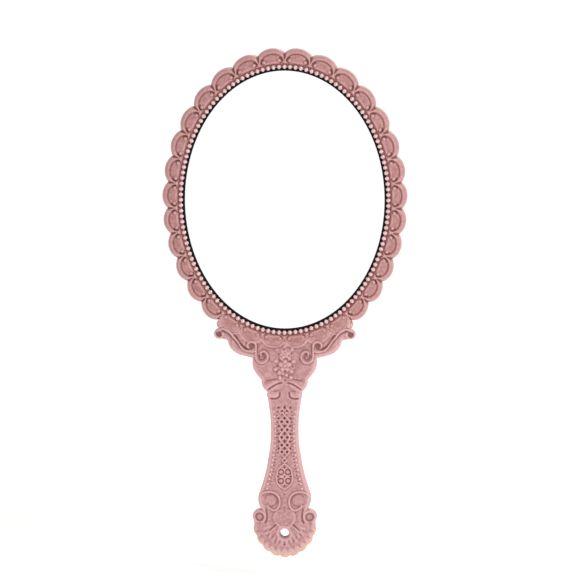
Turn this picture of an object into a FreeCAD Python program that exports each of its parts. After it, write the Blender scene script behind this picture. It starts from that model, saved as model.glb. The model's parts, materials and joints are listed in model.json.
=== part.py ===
"""Ornate plastic hand mirror: two moulded shells that hold an oval glass.

Units are millimetres. +Z is up, +X is to the right and the glass faces -Y. The origin is on the
handle's axis where the hand grips it, and the plane y = 0 is the joint between the two shells.
"""
import FreeCAD, Part
import math
import os

V = FreeCAD.Vector

# ---- Head: every oval is the seen glass edge grown outwards by a named amount ----
GLASS_HALF_WIDTH = 48.7      # seen glass, inside the gasket
GLASS_HALF_HEIGHT = 63.0
LOBE_COUNT = 32              # scallops that fit round the whole oval
LOBES_EACH_SIDE = 13         # scallops that stand free; the others run into the shoulders
LOBE_NOTCH_OUT = 8.4
LOBE_TIP_OUT = 11.1
LOBE_RING_OUT = 9.8          # the oval along which the scallops are spaced
LOBE_DRIFT = 0.33            # the side scallops sit lower than even spacing, in scallops

# ---- Neck and shoulders ----
NECK_TOP_Z = 41.5            # corner where the shoulder meets the neck leaf
NECK_TOP_HALF = 15.7
NECK_TO_GLASS = 14.5         # from that corner up to the lowest point of the seen glass
LEAF_BELLY_HALF = 15.5
LEAF_BELLY_Z = 36.9
LEAF_FOOT_HALF = 11.4
LEAF_FOOT_Z = 30.9
SMALL_LEAF_FOOT_HALF = 8.4
SMALL_LEAF_FOOT_Z = 24.7
SMALL_LEAF_BELLY = 0.8       # how far the small leaf bows out between its ends
COLLAR_HALF = 7.9
COLLAR_Z = 20.1
COLLAR_BELLY = 0.4
VOLUTE_RADIUS = 2.6
VOLUTE_DROP = 7.1            # centre of the wing-tip volute below the last scallop notch
VOLUTE_OUT = -0.3
SHOULDER_HOLLOW = 0.5        # how far the front shell curves in between the notch and the volute
SHOULDER_FILL = 1.0          # how far the back shell bows out there

# ---- Handle and its shell-shaped end ----
WAIST_HALF_WIDTH = 6.7
WAIST_Z = 4.0
SWELL_HALF_WIDTH = 8.5
SWELL_Z = -11.1
FLARE_HALF_WIDTH = 12.2
FLARE_Z = -24.6
BULGE_HALF_WIDTH = 12.95
BULGE_Z = -28.6
CURL_X = 12.3
CURL_Z = -36.9
CURL_RADIUS = 3.5
FAN_CENTRE_Z = -39.0
FAN_START_ANGLE = 8.0        # degrees below the horizontal where the fan's scallops start
FRONT_FAN_HALF_WIDTH = 14.9
FRONT_FAN_DROP = 15.2
FRONT_FAN_LOBES = 13
REAR_FAN_HALF_WIDTH = 15.3
REAR_FAN_DROP = 17.9
REAR_FAN_LOBES = 9
FAN_LOBE_RISE = 0.7
HANGING_HOLE_RADIUS = 2.35
HANGING_HOLE_Z = -45.0

# ---- Depths, measured from the joint plane ----
FRONT_RIM_DEPTH = 3.4
REAR_RIM_DEPTH = 3.4
FRONT_CROWN = 6.2
REAR_CROWN = 6.2
REAR_DOME = 6.5
CROWN_HALF_WIDTH = 17.5
CROWN_SIDE_DEPTH = 3.0
CROWN_RAMP = 8.0             # length over which the crown slopes down under the glass
WALL = 1.8

# ---- Glass and what holds it ----
GLASS_THICKNESS = 2.0
GLASS_COVERED = 2.6          # glass hidden under the gasket all round
GLASS_BACK_INSET = 1.0       # back of the glass in front of the joint plane
COATING_THICKNESS = 0.1
GASKET_FLANGE = 0.6
GASKET_WEB = 0.7
POCKET_CLEARANCE = 0.2
GASKET_SHOWING = 0.9
LIP_THICKNESS = 1.4
BEAD_BAND_OUT = 3.1
BEAD_BAND_RISE = 0.4
TAPE_THICKNESS = 0.5
TAPE_WIDTH = 12.0
TAPE_LENGTH = 18.0
TAPE_COLUMNS = 2
TAPE_ROWS = 3
PAD_THICKNESS = 3.0
PAD_INSET = 1.0              # foam pad's edge inside the glass edge

# ---- Pins that register the shells ----
PIN_CLEARANCE = 0.05
PIN_LENGTH = 2.4
SOCKET_SPARE_DEPTH = 0.3
HANDLE_PIN_RADIUS = 1.3
HANDLE_BOSS_RADIUS = 2.7
HANDLE_PIN_Z = (26.0, 4.0, -18.0)
HEAD_PIN_RADIUS = 0.9
HEAD_PIN_OUT = 6.0
HEAD_PIN_LOBES = (1.5, 5.5, 9.5, 12.5)
RIB_THICKNESS = 1.6
RIB_PITCH = 24.0

# ---- Worked out from the sizes above ----
HEAD_Z = NECK_TOP_Z + NECK_TO_GLASS + GLASS_HALF_HEIGHT
GLASS_BACK_Y = -GLASS_BACK_INSET
GLASS_FRONT_Y = GLASS_BACK_Y - GLASS_THICKNESS
REBATE_Y = GLASS_FRONT_Y - GASKET_FLANGE
LIP_Y = REBATE_Y - LIP_THICKNESS
COATING_BACK_Y = GLASS_BACK_Y + COATING_THICKNESS
TAPE_BACK_Y = COATING_BACK_Y + TAPE_THICKNESS
PAD_BACK_Y = TAPE_BACK_Y + PAD_THICKNESS
GLASS_OUT = GLASS_COVERED
GASKET_OUT = GLASS_OUT + GASKET_WEB
POCKET_OUT = GASKET_OUT + POCKET_CLEARANCE
PAD_OUT = GLASS_OUT - PAD_INSET
CORE_DEPTH = FRONT_CROWN - WALL - 0.6
REACH = 100.0                # half length of tools that cut right through


def point(x, z, y=0.0):
    """A point given as it is seen from the front, with its depth last."""
    return V(x, y, z)


def line(start, end):
    return Part.LineSegment(start, end).toShape()


def arc(start, middle, end):
    return Part.Arc(start, middle, end).toShape()


def smooth(points):
    curve = Part.BSplineCurve()
    curve.interpolate(points)
    return curve.toShape()


def oval_edge(grow, y=0.0):
    """The head's oval, grown outwards; its parameter starts at the top and runs to the right."""
    centre = point(0.0, HEAD_Z, y)
    top = point(0.0, HEAD_Z + GLASS_HALF_HEIGHT + grow, y)
    side = point(GLASS_HALF_WIDTH + grow, HEAD_Z, y)
    return Part.Ellipse(top, side, centre).toShape()


def oval_prism(grow, y0, y1):
    face = Part.Face(Part.Wire([oval_edge(grow, y0)]))
    return face.extrude(V(0.0, y1 - y0, 0.0))


def oval_cone(grow0, y0, grow1, y1):
    wires = [Part.Wire([oval_edge(grow0, y0)]), Part.Wire([oval_edge(grow1, y1)])]
    return Part.makeLoft(wires, True, True)


def on_oval(lobe, grow, y=0.0):
    """A point on the grown oval, at a number of scallops from the top."""
    ring = oval_edge(LOBE_RING_OUT)
    place = lobe + LOBE_DRIFT * math.sin(2 * math.pi * lobe / LOBE_COUNT)
    angle = ring.getParameterByLength(ring.Length * place / LOBE_COUNT)
    x = (GLASS_HALF_WIDTH + grow) * math.sin(angle)
    z = HEAD_Z + (GLASS_HALF_HEIGHT + grow) * math.cos(angle)
    return point(x, z, y)


def on_fan(degrees, half_width, drop):
    """A point on the fan's ellipse, at an angle below the horizontal on the right."""
    angle = math.radians(degrees)
    return point(half_width * math.cos(angle), FAN_CENTRE_Z - drop * math.sin(angle))


def polar(centre_x, centre_z, radius, degrees):
    angle = math.radians(degrees)
    return point(centre_x + radius * math.cos(angle), centre_z + radius * math.sin(angle))


def head_edges():
    edges = []
    for lobe in range(LOBES_EACH_SIDE):
        start = on_oval(lobe, LOBE_NOTCH_OUT)
        tip = on_oval(lobe + 0.5, LOBE_TIP_OUT)
        end = on_oval(lobe + 1, LOBE_NOTCH_OUT)
        edges.append(arc(start, tip, end))
    return edges


def shoulder_edges(notch_filled):
    """From the last free scallop round the wing-tip volute to the corner of the neck."""
    notch = on_oval(LOBES_EACH_SIDE, LOBE_NOTCH_OUT)
    centre_x = notch.x + VOLUTE_OUT
    centre_z = notch.z - VOLUTE_DROP
    corner = point(NECK_TOP_HALF, NECK_TOP_Z)
    top = polar(centre_x, centre_z, VOLUTE_RADIUS, 75.0)
    outer = polar(centre_x, centre_z, VOLUTE_RADIUS, 0.0)
    under = polar(centre_x, centre_z, VOLUTE_RADIUS, -110.0)

    def between(across, up):
        return point(corner.x + across * (centre_x - corner.x), corner.z + up * (centre_z - corner.z))

    armpit = between(0.76, 0.73)
    belly = [armpit, between(0.70, 0.50), between(0.60, 0.31), between(0.42, 0.15)]
    belly += [between(0.15, 0.05), corner]
    if notch_filled:
        outside = polar(centre_x, centre_z, VOLUTE_RADIUS, 35.0)
        filled = (notch + outside) * 0.5 + V(SHOULDER_FILL, 0, 0)
        start = [arc(notch, filled, outside), arc(outside, outer, under)]
    else:
        hollow = (notch + top) * 0.5 - V(SHOULDER_HOLLOW, 0, 0)
        start = [arc(notch, hollow, top), arc(top, outer, under)]
    return start + [line(under, armpit), smooth(belly)]


def neck_edges():
    corner = point(NECK_TOP_HALF, NECK_TOP_Z)
    leaf_foot = point(LEAF_FOOT_HALF, LEAF_FOOT_Z)
    small_foot = point(SMALL_LEAF_FOOT_HALF, SMALL_LEAF_FOOT_Z)
    collar = point(COLLAR_HALF, COLLAR_Z)
    belly = point(LEAF_BELLY_HALF, LEAF_BELLY_Z)
    small_belly = (leaf_foot + small_foot) * 0.5 + V(SMALL_LEAF_BELLY, 0, 0)
    collar_belly = (small_foot + collar) * 0.5 + V(COLLAR_BELLY, 0, 0)
    return [
        smooth([corner, belly, leaf_foot]),
        arc(leaf_foot, small_belly, small_foot),
        arc(small_foot, collar_belly, collar),
    ]


def handle_side(inset=0.0):
    """The long concave side of the handle, from the collar to the flare."""
    return [
        point(COLLAR_HALF - inset, COLLAR_Z),
        point(WAIST_HALF_WIDTH - inset, WAIST_Z),
        point(SWELL_HALF_WIDTH - inset, SWELL_Z),
        point(FLARE_HALF_WIDTH - inset, FLARE_Z),
    ]


def end_edges(first_notch):
    """From the flare over the bulge and the side curl to the fan's first notch."""
    flare = point(FLARE_HALF_WIDTH, FLARE_Z)
    bulge = point(BULGE_HALF_WIDTH, BULGE_Z)
    curl_inner = polar(CURL_X, CURL_Z, CURL_RADIUS, 115.0)
    curl_outer = polar(CURL_X, CURL_Z, CURL_RADIUS, 10.0)
    curl_under = polar(CURL_X, CURL_Z, CURL_RADIUS, -35.0)
    return [
        arc(flare, bulge, curl_inner),
        arc(curl_inner, curl_outer, curl_under),
        line(curl_under, first_notch),
    ]


def fan_edges(half_width, drop, lobes):
    """The fan's scallops on the right, and the middle one that crosses the centre line."""
    pitch = (180.0 - 2 * FAN_START_ANGLE) / lobes
    edges = []
    for lobe in range(lobes // 2 + 1):
        start = FAN_START_ANGLE + lobe * pitch
        edges.append(arc(
            on_fan(start, half_width, drop),
            on_fan(start + pitch / 2, half_width + FAN_LOBE_RISE, drop + FAN_LOBE_RISE),
            on_fan(start + pitch, half_width, drop),
        ))
    return edges[:-1], edges[-1]


def outline(notch_filled, fan_half_width, fan_drop, fan_lobes):
    """The whole closed outline of one shell, drawn on the joint plane."""
    fan, middle = fan_edges(fan_half_width, fan_drop, fan_lobes)
    first_notch = on_fan(FAN_START_ANGLE, fan_half_width, fan_drop)
    right = head_edges() + shoulder_edges(notch_filled) + neck_edges()
    right += [smooth(handle_side())] + end_edges(first_notch) + fan
    left = [edge.mirror(V(0, 0, 0), V(1, 0, 0)) for edge in right]
    return Part.Wire(Part.__sortEdges__(right + left + [middle]))


def prism(wire, y0, y1):
    face = Part.Face(wire)
    face.translate(V(0.0, y0, 0.0))
    return face.extrude(V(0.0, y1 - y0, 0.0))


def post(x, z, radius, y0, y1):
    return Part.makeCylinder(radius, y1 - y0, V(x, y0, z), V(0, 1, 0))


def crown_section(height, side, z):
    """A closed arch across the handle, flat on the joint plane."""
    left = V(-CROWN_HALF_WIDTH, side, z)
    right = V(CROWN_HALF_WIDTH, side, z)
    inner_left = V(-CROWN_HALF_WIDTH, 0, z)
    inner_right = V(CROWN_HALF_WIDTH, 0, z)
    return Part.Wire([
        arc(left, V(0, height, z), right),
        line(right, inner_right),
        line(inner_right, inner_left),
        line(inner_left, left),
    ])


def crown(wire, height):
    """A rounded ridge over the neck and handle that slopes down to the head; height has a sign."""
    side = math.copysign(CROWN_SIDE_DEPTH, height)
    low = FAN_CENTRE_Z - REAR_FAN_DROP - 2 * FAN_LOBE_RISE
    high = NECK_TOP_Z + NECK_TO_GLASS / 3
    full = high - CROWN_RAMP
    ridge = Part.Face(crown_section(height, side, low)).extrude(V(0, 0, full - low))
    ramp = Part.makeLoft([crown_section(height, side, full), crown_section(side * 1.1, side, high)], True)
    return prism(wire, 0.0, height).common(ridge.fuse(ramp))


def core(depth):
    """The hollow inside the handle and the fan, on one side of the joint plane."""
    side = handle_side(WALL)
    end = point(FLARE_HALF_WIDTH - 2 * WALL, FLARE_Z - 2 * WALL)
    top = point(LEAF_FOOT_HALF - 2 * WALL, LEAF_FOOT_Z + WALL)
    right = smooth([top] + side[:3] + [end])
    left = right.mirror(V(0, 0, 0), V(1, 0, 0))
    ends = [line(point(-top.x, top.z), top), line(point(-end.x, end.z), end)]
    handle = prism(Part.Wire(Part.__sortEdges__([right, left] + ends)), 0.0, depth)
    half_width = FRONT_FAN_HALF_WIDTH - 2 * WALL
    drop = FRONT_FAN_DROP - 2 * WALL
    bowl_edge = Part.Ellipse(
        point(0, FAN_CENTRE_Z - drop), point(half_width, FAN_CENTRE_Z), point(0, FAN_CENTRE_Z)
    ).toShape()
    bowl = prism(Part.Wire([bowl_edge]), 0.0, depth)
    return handle.fuse(bowl)


def pin_places():
    """Centres, pin radii and boss radii of all the registering pins."""
    places = [(0.0, z, HANDLE_PIN_RADIUS) for z in HANDLE_PIN_Z]
    for lobe in HEAD_PIN_LOBES:
        right = on_oval(lobe, HEAD_PIN_OUT)
        places.append((right.x, right.z, HEAD_PIN_RADIUS))
        places.append((-right.x, right.z, HEAD_PIN_RADIUS))
    return places


def bosses(y0, y1):
    """Posts left standing in the hollow: one under each handle pin and one round the hole."""
    posts = [post(0.0, z, HANDLE_BOSS_RADIUS, y0, y1) for z in HANDLE_PIN_Z]
    posts.append(post(0.0, HANGING_HOLE_Z, HANGING_HOLE_RADIUS + WALL, y0, y1))
    return posts


def make_front_frame():
    shape = outline(False, FRONT_FAN_HALF_WIDTH, FRONT_FAN_DROP, FRONT_FAN_LOBES)
    body = prism(shape, -FRONT_RIM_DEPTH, 0.0)
    bezel = oval_cone(LOBE_NOTCH_OUT, -FRONT_RIM_DEPTH, BEAD_BAND_OUT + 2.0, LIP_Y)
    band = oval_prism(BEAD_BAND_OUT, LIP_Y - BEAD_BAND_RISE, -FRONT_RIM_DEPTH)
    body = body.fuse([bezel, band, crown(shape, -FRONT_CROWN)])
    body = body.cut(core(-CORE_DEPTH).cut(Part.makeCompound(bosses(-CORE_DEPTH, 0.0))))
    pins = [post(x, z, radius, -1.0, PIN_LENGTH) for x, z, radius in pin_places()]
    body = body.fuse(pins)
    body = body.cut([
        oval_prism(GASKET_SHOWING, -REACH, REACH),
        oval_prism(POCKET_OUT, REBATE_Y, REACH),
        post(0.0, HANGING_HOLE_Z, HANGING_HOLE_RADIUS, -REACH, REACH),
    ])
    return body.removeSplitter()


def dome_hollow():
    """The space behind the foam pad, with the ribs that press on the pad left out of it."""
    ledge_out = -2.0
    deep_out = -13.0
    hollow = oval_cone(ledge_out, PAD_BACK_Y, deep_out, REAR_DOME - WALL)
    ribs = []
    height = GLASS_HALF_HEIGHT * 2
    for column in (-1, 0, 1):
        x = column * RIB_PITCH - RIB_THICKNESS / 2
        ribs.append(Part.makeBox(RIB_THICKNESS, REACH, height, V(x, 0, HEAD_Z - height / 2)))
    for row in (-1, 0, 1):
        z = HEAD_Z + row * RIB_PITCH - RIB_THICKNESS / 2
        ribs.append(Part.makeBox(height, REACH, RIB_THICKNESS, V(-height / 2, 0, z)))
    return hollow.cut(ribs)


def make_back_cover():
    shape = outline(True, REAR_FAN_HALF_WIDTH, REAR_FAN_DROP, REAR_FAN_LOBES)
    body = prism(shape, 0.0, REAR_RIM_DEPTH)
    dome = oval_cone(LOBE_NOTCH_OUT, REAR_RIM_DEPTH, -12.0, REAR_DOME)
    body = body.fuse([dome, crown(shape, REAR_CROWN)])
    body = body.cut([
        core(CORE_DEPTH).cut(Part.makeCompound(bosses(0.0, CORE_DEPTH))),
        oval_prism(POCKET_OUT, 0.0, PAD_BACK_Y),
        dome_hollow(),
        post(0.0, HANGING_HOLE_Z, HANGING_HOLE_RADIUS, -REACH, REACH),
    ])
    depth = PIN_LENGTH + SOCKET_SPARE_DEPTH
    sockets = [post(x, z, radius + PIN_CLEARANCE, 0.0, depth) for x, z, radius in pin_places()]
    return body.cut(sockets).removeSplitter()


def make_mirror_glass():
    return oval_prism(GLASS_OUT, GLASS_FRONT_Y, GLASS_BACK_Y)


def make_silver_coating():
    return oval_prism(GLASS_OUT, GLASS_BACK_Y, COATING_BACK_Y)


def make_glass_gasket():
    """An angle-section ring: a flange in front of the glass and a web round its edge."""
    ring = oval_prism(GASKET_OUT, REBATE_Y, GLASS_BACK_Y)
    seen = oval_prism(0.0, REBATE_Y, GLASS_FRONT_Y)
    return ring.cut([seen, oval_prism(GLASS_OUT, GLASS_FRONT_Y, GLASS_BACK_Y)])


def make_tape_pads():
    """Double-sided tape between the coated glass and the foam pad, as separate patches."""
    pads = []
    for column in range(TAPE_COLUMNS):
        x = (column - (TAPE_COLUMNS - 1) / 2) * GLASS_HALF_WIDTH
        for row in range(TAPE_ROWS):
            z = HEAD_Z + (row - (TAPE_ROWS - 1) / 2) * GLASS_HALF_HEIGHT * 0.6
            corner = V(x - TAPE_WIDTH / 2, COATING_BACK_Y, z - TAPE_LENGTH / 2)
            pads.append(Part.makeBox(TAPE_WIDTH, TAPE_THICKNESS, TAPE_LENGTH, corner))
    return Part.makeCompound(pads)


def make_foam_pad():
    return oval_prism(PAD_OUT, TAPE_BACK_Y, PAD_BACK_Y)


def main():
    os.makedirs("parts", exist_ok=True)
    makers = {
        "front_frame": make_front_frame,
        "back_cover": make_back_cover,
        "mirror_glass": make_mirror_glass,
        "silver_coating": make_silver_coating,
        "glass_gasket": make_glass_gasket,
        "tape_pads": make_tape_pads,
        "foam_pad": make_foam_pad,
    }
    for name, maker in makers.items():
        shape = maker()
        shape.exportStep("parts/" + name + ".step")
        box = shape.optimalBoundingBox()
        print(name, len(shape.Solids), "solids", shape.isValid(), "%.1f mm3" % shape.Volume)
        print("  from", box.getPoint(0), "to", box.getPoint(6))


main()
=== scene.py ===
"""An ornate moulded hand mirror: two relief shells round an oval glass.

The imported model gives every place. Sizes inside the classes are millimetres and are turned into
metres where a mesh is made. +Z is up, the glass faces -Y, and y = 0 is the joint of the two shells.
"""
import json
import logging
import math
from dataclasses import dataclass, field
from enum import Enum
from typing import Iterable, Optional, Sequence, Union

import bmesh
import bpy
import numpy as np
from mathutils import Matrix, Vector
from mathutils.geometry import delaunay_2d_cdt
from mathutils.kdtree import KDTree


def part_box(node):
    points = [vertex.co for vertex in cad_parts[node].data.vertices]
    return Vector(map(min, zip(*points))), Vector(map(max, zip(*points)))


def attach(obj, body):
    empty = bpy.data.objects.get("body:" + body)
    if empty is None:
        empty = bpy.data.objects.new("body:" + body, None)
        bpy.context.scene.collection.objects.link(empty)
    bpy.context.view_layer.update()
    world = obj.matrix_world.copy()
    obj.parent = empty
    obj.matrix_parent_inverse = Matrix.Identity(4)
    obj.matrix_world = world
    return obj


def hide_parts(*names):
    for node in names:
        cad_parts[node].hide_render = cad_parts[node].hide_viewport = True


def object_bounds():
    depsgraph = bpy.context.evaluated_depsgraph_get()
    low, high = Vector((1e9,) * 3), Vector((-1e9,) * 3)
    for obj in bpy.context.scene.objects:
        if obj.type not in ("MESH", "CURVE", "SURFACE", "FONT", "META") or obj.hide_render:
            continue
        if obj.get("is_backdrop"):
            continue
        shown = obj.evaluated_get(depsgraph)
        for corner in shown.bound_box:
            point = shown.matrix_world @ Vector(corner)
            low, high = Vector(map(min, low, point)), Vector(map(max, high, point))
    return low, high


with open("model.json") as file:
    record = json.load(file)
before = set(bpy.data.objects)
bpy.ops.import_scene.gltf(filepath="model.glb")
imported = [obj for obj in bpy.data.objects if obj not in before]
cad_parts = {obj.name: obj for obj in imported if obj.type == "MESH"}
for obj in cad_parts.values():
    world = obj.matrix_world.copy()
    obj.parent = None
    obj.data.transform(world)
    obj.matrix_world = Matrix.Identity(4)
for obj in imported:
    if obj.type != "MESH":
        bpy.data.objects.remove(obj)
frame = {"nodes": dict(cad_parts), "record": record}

MM = 0.001
BODY = "root"
LOG = logging.getLogger("hand_mirror")

Point = tuple[float, float]


class Side(Enum):
    """Which shell a piece belongs to; the value is the way its relief faces along Y."""

    FRONT = -1.0
    BACK = 1.0


# ---------------------------------------------------------------- node graphs


class Term:
    """A node's output that takes part in ordinary Python sums."""

    def __init__(self, graph: "Graph", socket: bpy.types.NodeSocket) -> None:
        """Keep the graph and the socket that the sums are about."""
        self.graph = graph
        self.socket = socket

    def maths(self, operation: str, *others: "Value") -> "Term":
        """Add one Math node.

        Args:
            operation: the Math node's operation, such as "SINE".
            others: its second and third inputs.

        Returns:
            The node's result.
        """
        return self.graph.maths(operation, self, *others)

    def __add__(self, other: "Value") -> "Term":
        """Self plus other."""
        return self.maths("ADD", other)

    __radd__ = __add__

    def __mul__(self, other: "Value") -> "Term":
        """Self times other."""
        return self.maths("MULTIPLY", other)

    __rmul__ = __mul__

    def __sub__(self, other: "Value") -> "Term":
        """Self minus other."""
        return self.maths("SUBTRACT", other)

    def __rsub__(self, other: "Value") -> "Term":
        """Other minus self."""
        return self.graph.maths("SUBTRACT", other, self)

    def __truediv__(self, other: "Value") -> "Term":
        """Self over other."""
        return self.maths("DIVIDE", other)

    def __rtruediv__(self, other: "Value") -> "Term":
        """Other over self."""
        return self.graph.maths("DIVIDE", other, self)

    def __pow__(self, other: "Value") -> "Term":
        """Self to a power."""
        return self.maths("POWER", other)

    def __neg__(self) -> "Term":
        """Minus self."""
        return self.maths("MULTIPLY", -1.0)

    def __abs__(self) -> "Term":
        """The size of self."""
        return self.maths("ABSOLUTE")

    def over(self, low: float) -> "Term":
        """Self, but never under low."""
        return self.maths("MAXIMUM", low)

    def under(self, high: "Value") -> "Term":
        """Self, but never over high."""
        return self.maths("MINIMUM", high)

    def root(self) -> "Term":
        """The square root of self, with nothing under zero."""
        return self.over(0.0).maths("SQRT")

    def bell(self, width: float) -> "Term":
        """A smooth bump that is 1 where self is 0 and fades over a width."""
        scaled = self / width
        return 2.718 ** (-(scaled * scaled))

    def __rpow__(self, other: float) -> "Term":
        """A number to the power of self."""
        return self.graph.maths("POWER", other, self)

    def step(self, low: float, high: float) -> "Term":
        """A smooth step from 0 at low to 1 at high; low may be the larger one."""
        rise = self.graph.maths("DIVIDE", self - low, high - low).over(0.0).under(1.0)
        return rise * rise * (3.0 - 2.0 * rise)


Value = Union[Term, float, int, bool, Sequence[float]]


class Graph:
    """A node tree with one way to add a node."""

    def __init__(self, tree: bpy.types.NodeTree) -> None:
        """Start from an empty tree."""
        self.tree = tree
        tree.nodes.clear()

    @staticmethod
    def pick(sockets: Iterable[bpy.types.NodeSocket], key: Union[int, str]) -> bpy.types.NodeSocket:
        """Find a socket by its place, its identifier or its name.

        Args:
            sockets: a node's inputs or outputs.
            key: the place, identifier or name to look for.

        Returns:
            The socket.
        """
        listed = list(sockets)
        if isinstance(key, int):
            return listed[key]
        for socket in listed:
            if socket.identifier == key:
                return socket
        return next(socket for socket in listed if socket.name == key)

    def add(
        self,
        kind: str,
        settings: Optional[dict] = None,
        inputs: Optional[dict] = None,
        output: Union[int, str] = 0,
    ) -> Term:
        """Add a node, set it up, then fill or link its inputs.

        Args:
            kind: the node's type.
            settings: the node's own settings, set first.
            inputs: a value or a Term for each socket, by place, identifier or name.
            output: which output the returned Term stands for.

        Returns:
            The wanted output.
        """
        node = self.tree.nodes.new(kind)
        for name, value in (settings or {}).items():
            setattr(node, name, value)
        for key, value in (inputs or {}).items():
            socket = self.pick(node.inputs, key)
            if isinstance(value, Term):
                self.tree.links.new(value.socket, socket)
            else:
                socket.default_value = value
        if not len(node.outputs):
            return Term(self, node.inputs[0])
        return Term(self, self.pick(node.outputs, output))

    def maths(self, operation: str, *values: Value) -> Term:
        """Add one Math node whose inputs are the values in order."""
        return self.add("ShaderNodeMath", {"operation": operation}, dict(enumerate(values)))

    def other(self, term: Term, output: Union[int, str]) -> Term:
        """Another output of the node that a Term comes from."""
        return Term(self, self.pick(term.socket.node.outputs, output))

    def blend(self, factor: Value, first: Value, second: Value, how: str = "MIX") -> Term:
        """Mix two colours."""
        return self.add(
            "ShaderNodeMix",
            {"data_type": "RGBA", "blend_type": how},
            {"Factor_Float": factor, "A_Color": first, "B_Color": second},
            "Result_Color",
        )


class GeometryGraph(Graph):
    """A Geometry Nodes tree with named inputs, which ends in Realize Instances and Set Material."""

    def __init__(self, name: str, sizes: dict[str, float], takes_geometry: bool = False) -> None:
        """Make the tree and its inputs.

        Args:
            name: the tree's name.
            sizes: a default for each named size.
            takes_geometry: whether the tree works on the object's own geometry.
        """
        super().__init__(bpy.data.node_groups.new(name, "GeometryNodeTree"))
        face = self.tree.interface
        face.new_socket(name="Geometry", in_out="OUTPUT", socket_type="NodeSocketGeometry")
        if takes_geometry:
            face.new_socket(name="Geometry", in_out="INPUT", socket_type="NodeSocketGeometry")
        self.keys = {}
        for label, value in sizes.items():
            socket = face.new_socket(name=label, in_out="INPUT", socket_type="NodeSocketFloat")
            socket.default_value = value
            self.keys[label] = socket.identifier
        finish = face.new_socket(name="Finish", in_out="INPUT", socket_type="NodeSocketMaterial")
        self.keys["Finish"] = finish.identifier
        self.source = self.tree.nodes.new("NodeGroupInput")

    def size(self, label: str) -> Term:
        """A named input of the tree."""
        return Term(self, self.pick(self.source.outputs, label))

    def end(self, geometry: Term) -> None:
        """Scale from millimetres, realize the instances and give the finish.

        Args:
            geometry: the finished shape, in millimetres.
        """
        scaled = self.add(
            "GeometryNodeTransform", {}, {"Geometry": geometry, "Scale": (MM, MM, MM)}
        )
        real = self.add("GeometryNodeRealizeInstances", {}, {"Geometry": scaled})
        dressed = self.add(
            "GeometryNodeSetMaterial", {}, {"Geometry": real, "Material": self.size("Finish")}
        )
        output = self.tree.nodes.new("NodeGroupOutput")
        self.tree.links.new(dressed.socket, output.inputs[0])

    def grow(
        self,
        name: str,
        values: dict[str, float],
        finish: bpy.types.Material,
        start: Optional[bpy.types.ID] = None,
    ) -> bpy.types.Object:
        """Run the tree and keep its result as a plain mesh.

        Args:
            name: the new piece's name.
            values: sizes that differ from the defaults.
            finish: the material to set.
            start: the curve or mesh that the tree works on, if it takes one.

        Returns:
            The new object, at the origin, with no modifier left.
        """
        seed = start if start is not None else bpy.data.meshes.new(name + "_seed")
        host = bpy.data.objects.new(name + "_host", seed)
        bpy.context.scene.collection.objects.link(host)
        modifier = host.modifiers.new("grow", "NODES")
        modifier.node_group = self.tree
        for label, value in values.items():
            modifier[self.keys[label]] = float(value)
        modifier[self.keys["Finish"]] = finish
        bpy.context.view_layer.update()
        graph = bpy.context.evaluated_depsgraph_get()
        mesh = bpy.data.meshes.new_from_object(host.evaluated_get(graph), depsgraph=graph)
        mesh.name = name
        bpy.data.objects.remove(host)
        piece = bpy.data.objects.new(name, mesh)
        bpy.context.scene.collection.objects.link(piece)
        return piece


# ---------------------------------------------------------------- finishes


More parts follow.
